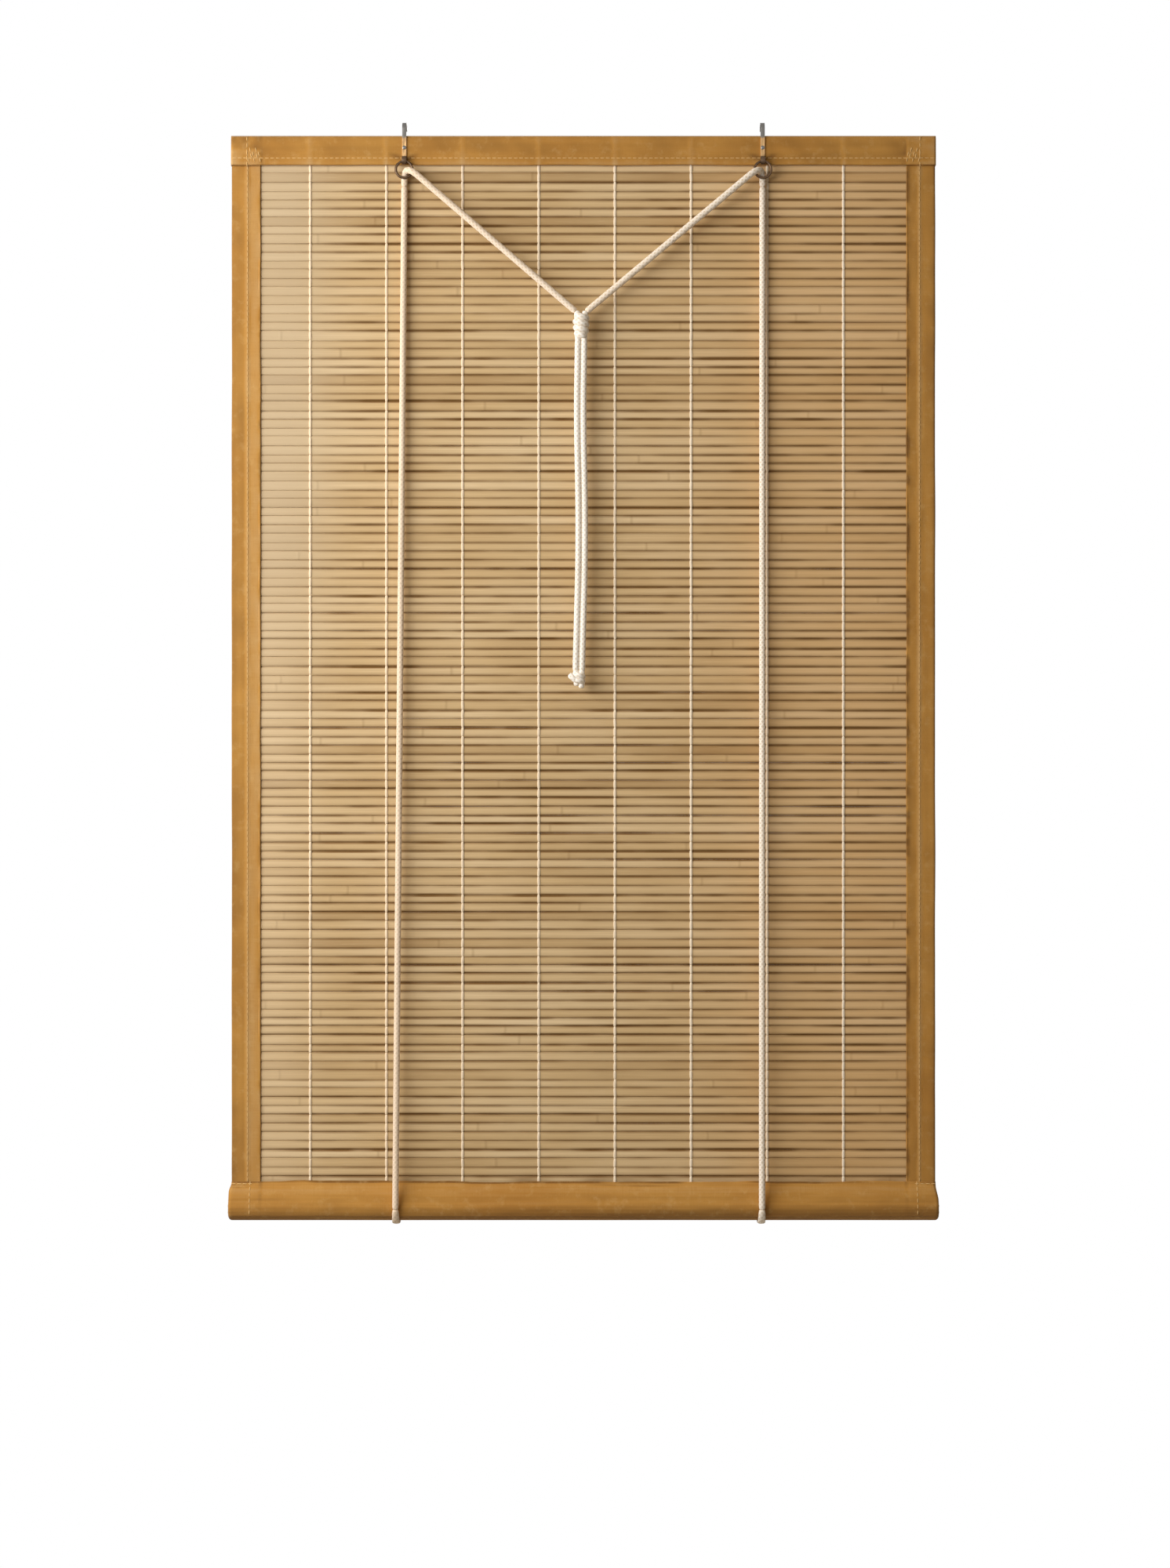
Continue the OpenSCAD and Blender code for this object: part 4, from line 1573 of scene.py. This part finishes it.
class BLIND_OT_warp(bpy.types.Operator):
    """Make the threads that tie the slats together"""

    bl_idname = "blind.make_warp"
    bl_label = "Warp threads"

    def execute(self, context):
        sizes = context.scene.blind_sizes
        tree = wrap_tree()
        for number, node in enumerate(THREADS):
            values = {
                "Count": sizes.slat_count,
                "Across": THREAD_X[number],
                "Top": FIRST_SLAT,
                "Pitch": SLAT_PITCH,
                "Seed": sizes.seed + number,
                "Finish": finish_of("warp thread"),
            }
            thread = grown(f"{node}_wraps", wrap_pair(), tree, values)
            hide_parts(node)
            follow_lift(thread, HEAD_FOOT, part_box(node)[0].z)
        return {"FINISHED"}


# Bindings


def head_profile():
    """Section of the top binding, up its front, over the top and down its back."""
    depth, top, foot, curve = HEAD_HIGH.y, HEAD_HIGH.z, HEAD_FOOT, HEAD_ROUND
    flat_steps, curve_steps, top_steps = 13, 5, 3
    rise = top - curve - foot
    half = [(-depth, foot + rise * i / flat_steps) for i in range(flat_steps + 1)]
    for i in range(1, curve_steps + 1):
        angle = math.radians(90 * i / curve_steps)
        half.append((-depth + curve * (1 - math.cos(angle)), top - curve * (1 - math.sin(angle))))
    across = 2 * depth - 2 * curve
    ridge = [(-depth + curve + across * i / top_steps, top) for i in range(1, top_steps)]
    return half + ridge + [(-y, z) for y, z in reversed(half)]


def head_columns():
    """Places across the top binding, each with its share of the depth: the ends are drawn in."""
    ends = [(-HALF_W - 0.3 * MM, 0.03), (-HALF_W - 0.3 * MM, 0.55)]
    columns = [(-HALF_W + 2 * HALF_W * i / LONG_STEPS, 1.0) for i in range(LONG_STEPS + 1)]
    return ends + columns + [(-x, share) for x, share in reversed(ends)]


def head_cell(x, depth_share, y, z, run):
    """Outer point, flat place and tone of the top binding at one place of its grid."""
    top = HEAD_HIGH.z
    low = 1 - (z - HEAD_FOOT) / (top - HEAD_FOOT)
    rise = head_rise(x, z, y)
    face = clamp((top - 0.5 * MM - z) / (3 * MM), 0.0)
    hang = 0.55 * MM * ripple(x * 19, 0.2, 8.8) * low**4
    out = (abs(y) + rise * face) * depth_share
    point = Vector((x, math.copysign(out, y), z + hang))
    return point, (x, run), head_tone(x, z, rise)


class BLIND_OT_top_binding(bpy.types.Operator):
    """Make the cloth round the head laths"""

    bl_idname = "blind.make_top_binding"
    bl_label = "Top binding"

    def execute(self, context):
        profile = head_profile()
        reach = run_of(profile)
        grid = [
            [head_cell(x, share, y, z, run) for (y, z), run in zip(profile, reach)]
            for x, share in head_columns()
        ]
        cloth = lay_cloth("top_binding_cloth", grid, context.scene.blind_sizes.cloth_thickness)
        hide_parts("top_binding")
        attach(cloth, "head")
        return {"FINISHED"}


def side_profile():
    """Section of a side binding: distance from its outer edge and depth, its edges turned under."""
    depth = SIDE_HIGH.y
    flat_steps, curve_steps = 18, 7
    half = [(SIDE_W - 1.6 * MM, -1.05 * MM), (SIDE_W + 0.02 * MM, -1.35 * MM)]
    half += [(SIDE_W - (SIDE_W - depth) * i / flat_steps, -depth) for i in range(flat_steps + 1)]
    edge = []
    for i in range(1, curve_steps):
        angle = math.radians(180 * i / curve_steps)
        edge.append((depth * (1 - math.sin(angle)), -depth * math.cos(angle)))
    return half + edge + [(out, -y) for out, y in reversed(half)]


def side_cell(s, z, out, y, run, from_end):
    """Outer point, flat place and tone of a side binding, some points from its profile's end."""
    fold = {0: 0.0, 1: 0.45}.get(from_end, 1.0)
    face = clamp((out - 0.3 * MM) / (2.2 * MM), 0.0) * fold
    edge = 0.3 * MM * ripple(z * 17, s * 2.3, 1.0) * (1 - out / SIDE_W) ** 2
    x = s * (HALF_W - out + side_drift(out, z, s) + edge)
    point = Vector((x, y + math.copysign(side_front(out, z, s) * face, y), z))
    return point, (run, z), side_tone(out, z, s)


class BLIND_OT_side_bindings(bpy.types.Operator):
    """Make the cloth tapes folded round the slat ends"""

    bl_idname = "blind.make_side_bindings"
    bl_label = "Side bindings"

    def execute(self, context):
        thickness = context.scene.blind_sizes.cloth_thickness
        profile = side_profile()
        reach = run_of(profile)
        last = len(profile) - 1
        low, high = HEM_TOP - SIDE_TUCK, HEAD_FOOT + SIDE_TUCK
        heights = [low + (high - low) * i / LONG_STEPS for i in range(LONG_STEPS + 1)]
        for side, s in SIDES.items():
            grid = [
                [
                    side_cell(s, z, out, y, reach[k], min(k, last - k))
                    for k, (out, y) in enumerate(profile)
                ]
                for z in heights
            ]
            node = f"{side}_binding"
            cloth = lay_cloth(f"{node}_cloth", grid, thickness)
            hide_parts(node)
            follow_lift(cloth, HEAD_FOOT, HEM_TOP)
        return {"FINISHED"}


def hem_cell(face, x, y, z, run, whole):
    """Outer point, flat place and tone of a hem flank, some way down its whole run."""
    share = run / whole
    tuck = 0.6 * MM * max(0.0, 1 - (HALF_W - abs(x)) / (4 * MM)) ** 2
    out = y + hem_relief(x, share) - tuck * hem_fade(share)
    up = ROD_Z + z + hem_wave(x, share, face)
    point = Vector((x + hem_flare(x, share), face * out, up))
    return point, (x, run), hem_tone(x, share, face)


def make_hem(context):
    """The hem's two flanks as one cloth, thinned out towards the roller."""
    profile = hem_line()
    reach = run_of(profile)
    whole = reach[-1]
    thickness, thin = context.scene.blind_sizes.cloth_thickness, 0.12 * MM
    walls = [max(thin, thickness * (1 - run / (0.8 * whole))) for run in reach]
    across = [-HALF_W + 2 * HALF_W * i / HEM_STEPS for i in range(HEM_STEPS + 1)]
    flanks = []
    for face in FACES.values():
        grid = [
            [hem_cell(face, x, y, z, run, whole) for (y, z), run in zip(profile, reach)]
            for x in across
        ]
        flanks.append(lay_cloth("hem_flank", grid, walls))
    cloth = flanks[0]
    with context.temp_override(
        active_object=cloth,
        object=cloth,
        selected_objects=flanks,
        selected_editable_objects=flanks,
    ):
        bpy.ops.object.join()
    cloth.name = "hem_cloth"
    cloth.data.name = "hem_cloth"
    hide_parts("bottom_binding")
    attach(cloth, "hem")


def cover_rings():
    """Places along the roller and the radius of its cover at each, with both ends turned in."""
    curl, half = COVER_CURL, COVER_END
    tip, curve_steps = half + COVER_TURN, 5
    ends = [(half - COVER_TURN, 4.6 * MM), (tip, 6.2 * MM), (tip, COVER_R - curl)]
    for i in range(1, curve_steps):
        angle = math.radians(90 * i / curve_steps)
        ends.append((tip - curl * (1 - math.cos(angle)), COVER_R - curl * (1 - math.sin(angle))))
    ends.append((tip - curl, COVER_R))
    flat = half - curl
    body = [(-flat + 2 * flat * i / COVER_STEPS, COVER_R) for i in range(1, COVER_STEPS)]
    return [(-x, radius) for x, radius in ends] + body + ends[::-1]


def cover_cell(x, radius, run, share):
    """Outer point, flat place and tone of the roller's cover, some share of a turn round it."""
    angle = 2 * math.pi * share
    gather = clamp((abs(x) - COVER_END + 6 * MM) / (6 * MM), 0.0)
    lap = 0.12 * MM * (share - 0.5)
    crease = ripple(x * 16 + 3 * math.cos(angle), math.sin(angle) * 1.6, 4.0)
    pleat = math.cos(9 * angle + 1.3 * math.sin(angle)) * gather
    wide = radius - 0.27 * MM + lap + 0.06 * MM * crease - 0.12 * MM * abs(pleat)
    turned_in = radius < COVER_R - 0.5 * MM
    push = math.copysign(0.25 * MM, x) * pleat * turned_in
    point = Vector((x + push, wide * math.sin(angle), ROD_Z + wide * math.cos(angle)))
    # Painted shade under the roller, painted light and shade on the creases, and painted shade in
    # the pleats at the gathered ends
    underside_shade = 0.2 + 0.4 * ease(-math.cos(angle), 0.3, 0.8)
    tone = clamp(underside_shade - 0.4 * crease + 0.3 * gather * abs(pleat), 0.0)
    return point, (run, angle * COVER_R), tone


def make_cover():
    """The cloth wound on the roller, pleated where its ends turn in."""
    rings = cover_rings()
    travel = run_of(rings)
    turn = [k / COVER_SIDES for k in range(COVER_SIDES + 1)]
    grid = [
        [cover_cell(x, radius, run, share) for share in turn]
        for (x, radius), run in zip(rings, travel)
    ]
    cover = lay_cloth("roller_cover_cloth", grid, COVER_THICK)
    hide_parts("roller_cover")
    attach(cover, "roller")


class BLIND_OT_hem(bpy.types.Operator):
    """Make the hem's two flanks and the cloth wound on the roller"""

    bl_idname = "blind.make_hem"
    bl_label = "Hem and roller"

    def execute(self, context):
        make_hem(context)
        make_cover()
        return {"FINISHED"}


# Seams


def seam_rows(name, rows):
    """A mesh of open lines, ready for the stitch tree."""
    points, edges = [], []
    for row in rows:
        first = len(points)
        points += [tuple(point) for point in row]
        edges += [(first + i, first + i + 1) for i in range(len(row) - 1)]
    mesh = bpy.data.meshes.new(name)
    mesh.from_pydata(points, edges, [])
    piece = bpy.data.objects.new(name, mesh)
    bpy.context.scene.collection.objects.link(piece)
    return piece


def head_point(x, z, face):
    """A point on the top binding, for a stitch."""
    out = HEAD_HIGH.y + head_rise(x, z, face) + STITCH_PROUD
    return Vector((x, face * out, z))


def head_rows():
    """The long seam of the top binding, and the seams and tacks that hold the side tapes to it."""
    span, tacks, short_steps = HALF_W - 3 * MM, 5, 8
    low, high = HEAD_FOOT + 0.8 * MM, HEAD_HIGH.z - 3.2 * MM
    rows = []
    for face in FACES.values():
        along = [-span + 2 * span * i / LONG_STEPS for i in range(LONG_STEPS + 1)]
        rows.append([head_point(x, HEAD_SEAM, face) for x in along])
        for s in SIDES.values():
            x = s * (HALF_W - SIDE_SEAM)
            up = [low + (high - low) * i / short_steps for i in range(short_steps + 1)]
            rows.append([head_point(x, z, face) for z in up])
            for i in range(tacks):
                x = s * (HALF_W - SIDE_SEAM - 2.5 * MM * i)
                z = HEAD_FOOT + (9.5 + 3.5 * (i % 2)) * MM
                rows.append([head_point(x, z, face), head_point(x - s * MM, z - 5 * MM, face)])
    return rows


def side_rows(s):
    """The seam down a side binding, front and back."""
    low, high = HEM_TOP + 1.5 * MM, HEAD_FOOT - 1.5 * MM
    rows = []
    for face in FACES.values():
        row = []
        for i in range(LONG_STEPS + 1):
            z = low + (high - low) * i / LONG_STEPS
            x = s * (HALF_W - SIDE_SEAM + side_drift(SIDE_SEAM, z, s))
            out = SIDE_HIGH.y + side_front(SIDE_SEAM, z, s) + STITCH_PROUD
            row.append(Vector((x, face * out, z)))
        rows.append(row)
    return rows


def hem_rows():
    """The seams across the hem's ends, and along its upper edge outside them."""
    profile = hem_line()
    reach = run_of(profile)
    down_steps, out_steps = 20, 8

    def hem_point(x, share, face):
        goal, k = share * reach[-1], 0
        while k < len(reach) - 2 and reach[k + 1] < goal:
            k += 1
        part = (goal - reach[k]) / (reach[k + 1] - reach[k])
        (y0, z0), (y1, z1) = profile[k], profile[k + 1]
        out = y0 + (y1 - y0) * part + hem_relief(x, share) + STITCH_PROUD
        up = ROD_Z + z0 + (z1 - z0) * part + hem_wave(x, share, face)
        return Vector((x, face * out, up))

    run = HEM_END_SEAM - 2 * MM
    rows = []
    for face in FACES.values():
        for s in SIDES.values():
            x = s * (HALF_W - HEM_END_SEAM)
            down = [0.05 + 0.8 * i / down_steps for i in range(down_steps + 1)]
            rows.append([hem_point(x, share, face) for share in down])
            along = [x + s * run * i / out_steps for i in range(out_steps + 1)]
            rows.append([hem_point(place, 0.06, face) for place in along])
    return rows


class BLIND_OT_seams(bpy.types.Operator):
    """Make the stitches along the bindings"""

    bl_idname = "blind.make_seams"
    bl_label = "Seams"

    def execute(self, context):
        sizes = context.scene.blind_sizes
        tree = stitch_tree()
        values = {
            "Pitch": sizes.stitch_pitch,
            "Length": sizes.stitch_length,
            "Radius": sizes.stitch_radius,
            "Finish": finish_of("sewing thread"),
        }

        def sewn(name, rows):
            stitches = grown(f"{name}_stitches", seam_rows(name, rows), tree, values)
            return stitches

        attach(sewn("top_seam", head_rows()), "head")
        for side, s in SIDES.items():
            follow_lift(sewn(f"{side}_seam", side_rows(s)), HEAD_FOOT, HEM_TOP)
        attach(sewn("hem_seam", hem_rows()), "hem")
        return {"FINISHED"}


# Fittings


def make_strap(context, side):
    """A hanger strap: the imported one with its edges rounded."""
    node = f"{side}_hanger"
    strap = bpy.data.objects.new(f"{node}_strap", frame["nodes"][node].data.copy())
    context.scene.collection.objects.link(strap)
    work = bmesh.new()
    work.from_mesh(strap.data)
    bmesh.ops.remove_doubles(work, verts=work.verts, dist=0.005 * MM)
    bmesh.ops.dissolve_limit(
        work, angle_limit=math.radians(1), verts=work.verts, edges=work.edges
    )
    work.to_mesh(strap.data)
    work.free()
    rounding = strap.modifiers.new("rounded edges", "BEVEL")
    rounding.width = 0.22 * MM
    rounding.segments = 2
    rounding.limit_method = "ANGLE"
    rounding.angle_limit = math.radians(50)
    depsgraph = context.evaluated_depsgraph_get()
    made = bpy.data.meshes.new_from_object(strap.evaluated_get(depsgraph))
    strap.modifiers.clear()
    strap.data = made
    made.materials.clear()
    made.materials.append(finish_of("worn strap"))
    made.shade_smooth()
    made.set_sharp_from_angle(angle=math.radians(38))
    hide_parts(node)
    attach(strap, "head")


def make_ring(side):
    """A wire ring, a little drawn in where its ends meet."""
    around, tube = 56, 14
    centre, node = RING[side], f"{side}_ring"
    low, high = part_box(node)
    wire = (high.y - low.y) / 2
    mean = (high.x - low.x) / 2 - wire
    points, faces = [], []
    for i in range(around):
        angle = 2 * math.pi * i / around + math.radians(125)
        thin = wire * (1.0 if i else 0.86)
        for k in range(tube):
            turn = 2 * math.pi * k / tube
            reach = mean + thin * math.cos(turn)
            points.append(
                (
                    centre.x + reach * math.cos(angle),
                    centre.y + thin * math.sin(turn),
                    centre.z + reach * math.sin(angle),
                )
            )
    for i in range(around):
        for k in range(tube):
            n, m = (i + 1) % around, (k + 1) % tube
            faces.append((i * tube + k, n * tube + k, n * tube + m, i * tube + m))
    # Painted shade: the ring takes the darkened, browned steel
    ring = mesh_piece(f"{node}_wire", points, faces, "dark steel")
    tidy_normals(ring)
    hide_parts(node)
    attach(ring, "head")


def dress(node, finish):
    """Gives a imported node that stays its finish."""
    mesh = frame["nodes"][node].data
    mesh.materials.clear()
    mesh.materials.append(finish_of(finish))


class BLIND_OT_fittings(bpy.types.Operator):
    """Make the hangers and rings, and finish the screws, the staples and the wood"""

    bl_idname = "blind.make_fittings"
    bl_label = "Fittings"

    def execute(self, context):
        for side in SIDES:
            make_strap(context, side)
            make_ring(side)
            dress(f"{side}_hanger_screw", "plated steel")
            dress(f"{side}_back_staple", "plated steel")
        for node in ("head_lath_front", "head_lath_back", "bottom_rod"):
            dress(node, "plain wood")
        return {"FINISHED"}


# Panel


class BLIND_PT_panel(bpy.types.Panel):
    """Lists the blind's sizes, colours and pieces"""

    bl_idname = "BLIND_PT_panel"
    bl_label = "Roll up blind"
    bl_space_type = "VIEW_3D"
    bl_region_type = "UI"
    bl_category = "Blind"

    def draw(self, context):
        layout = self.layout
        for group in (context.scene.blind_sizes, context.scene.blind_colours):
            column = layout.column(align=True)
            for name in group.__annotations__:
                column.prop(group, name)
        column = layout.column(align=True)
        for operator in OPERATORS:
            column.operator(operator.bl_idname)


OPERATORS = (
    BLIND_OT_stage,
    BLIND_OT_cords,
    BLIND_OT_slats,
    BLIND_OT_warp,
    BLIND_OT_top_binding,
    BLIND_OT_side_bindings,
    BLIND_OT_hem,
    BLIND_OT_seams,
    BLIND_OT_fittings,
)
CLASSES = (BlindSizes, BlindColours, *OPERATORS, BLIND_PT_panel)


def register():
    """Adds the panel, the operators and the properties."""
    for made in CLASSES:
        bpy.utils.register_class(made)
    bpy.types.Scene.blind_sizes = bpy.props.PointerProperty(type=BlindSizes)
    bpy.types.Scene.blind_colours = bpy.props.PointerProperty(type=BlindColours)


def unregister():
    """Takes the properties, the panel and the operators away again."""
    del bpy.types.Scene.blind_colours
    del bpy.types.Scene.blind_sizes
    for made in reversed(CLASSES):
        bpy.utils.unregister_class(made)


def main():
    """Makes every piece in turn."""
    register()
    bpy.ops.blind.make_stage()
    bpy.ops.blind.make_cords()
    bpy.ops.blind.make_slats()
    bpy.ops.blind.make_warp()
    bpy.ops.blind.make_top_binding()
    bpy.ops.blind.make_side_bindings()
    bpy.ops.blind.make_hem()
    bpy.ops.blind.make_seams()
    bpy.ops.blind.make_fittings()


if __name__ == "__main__":
    main()
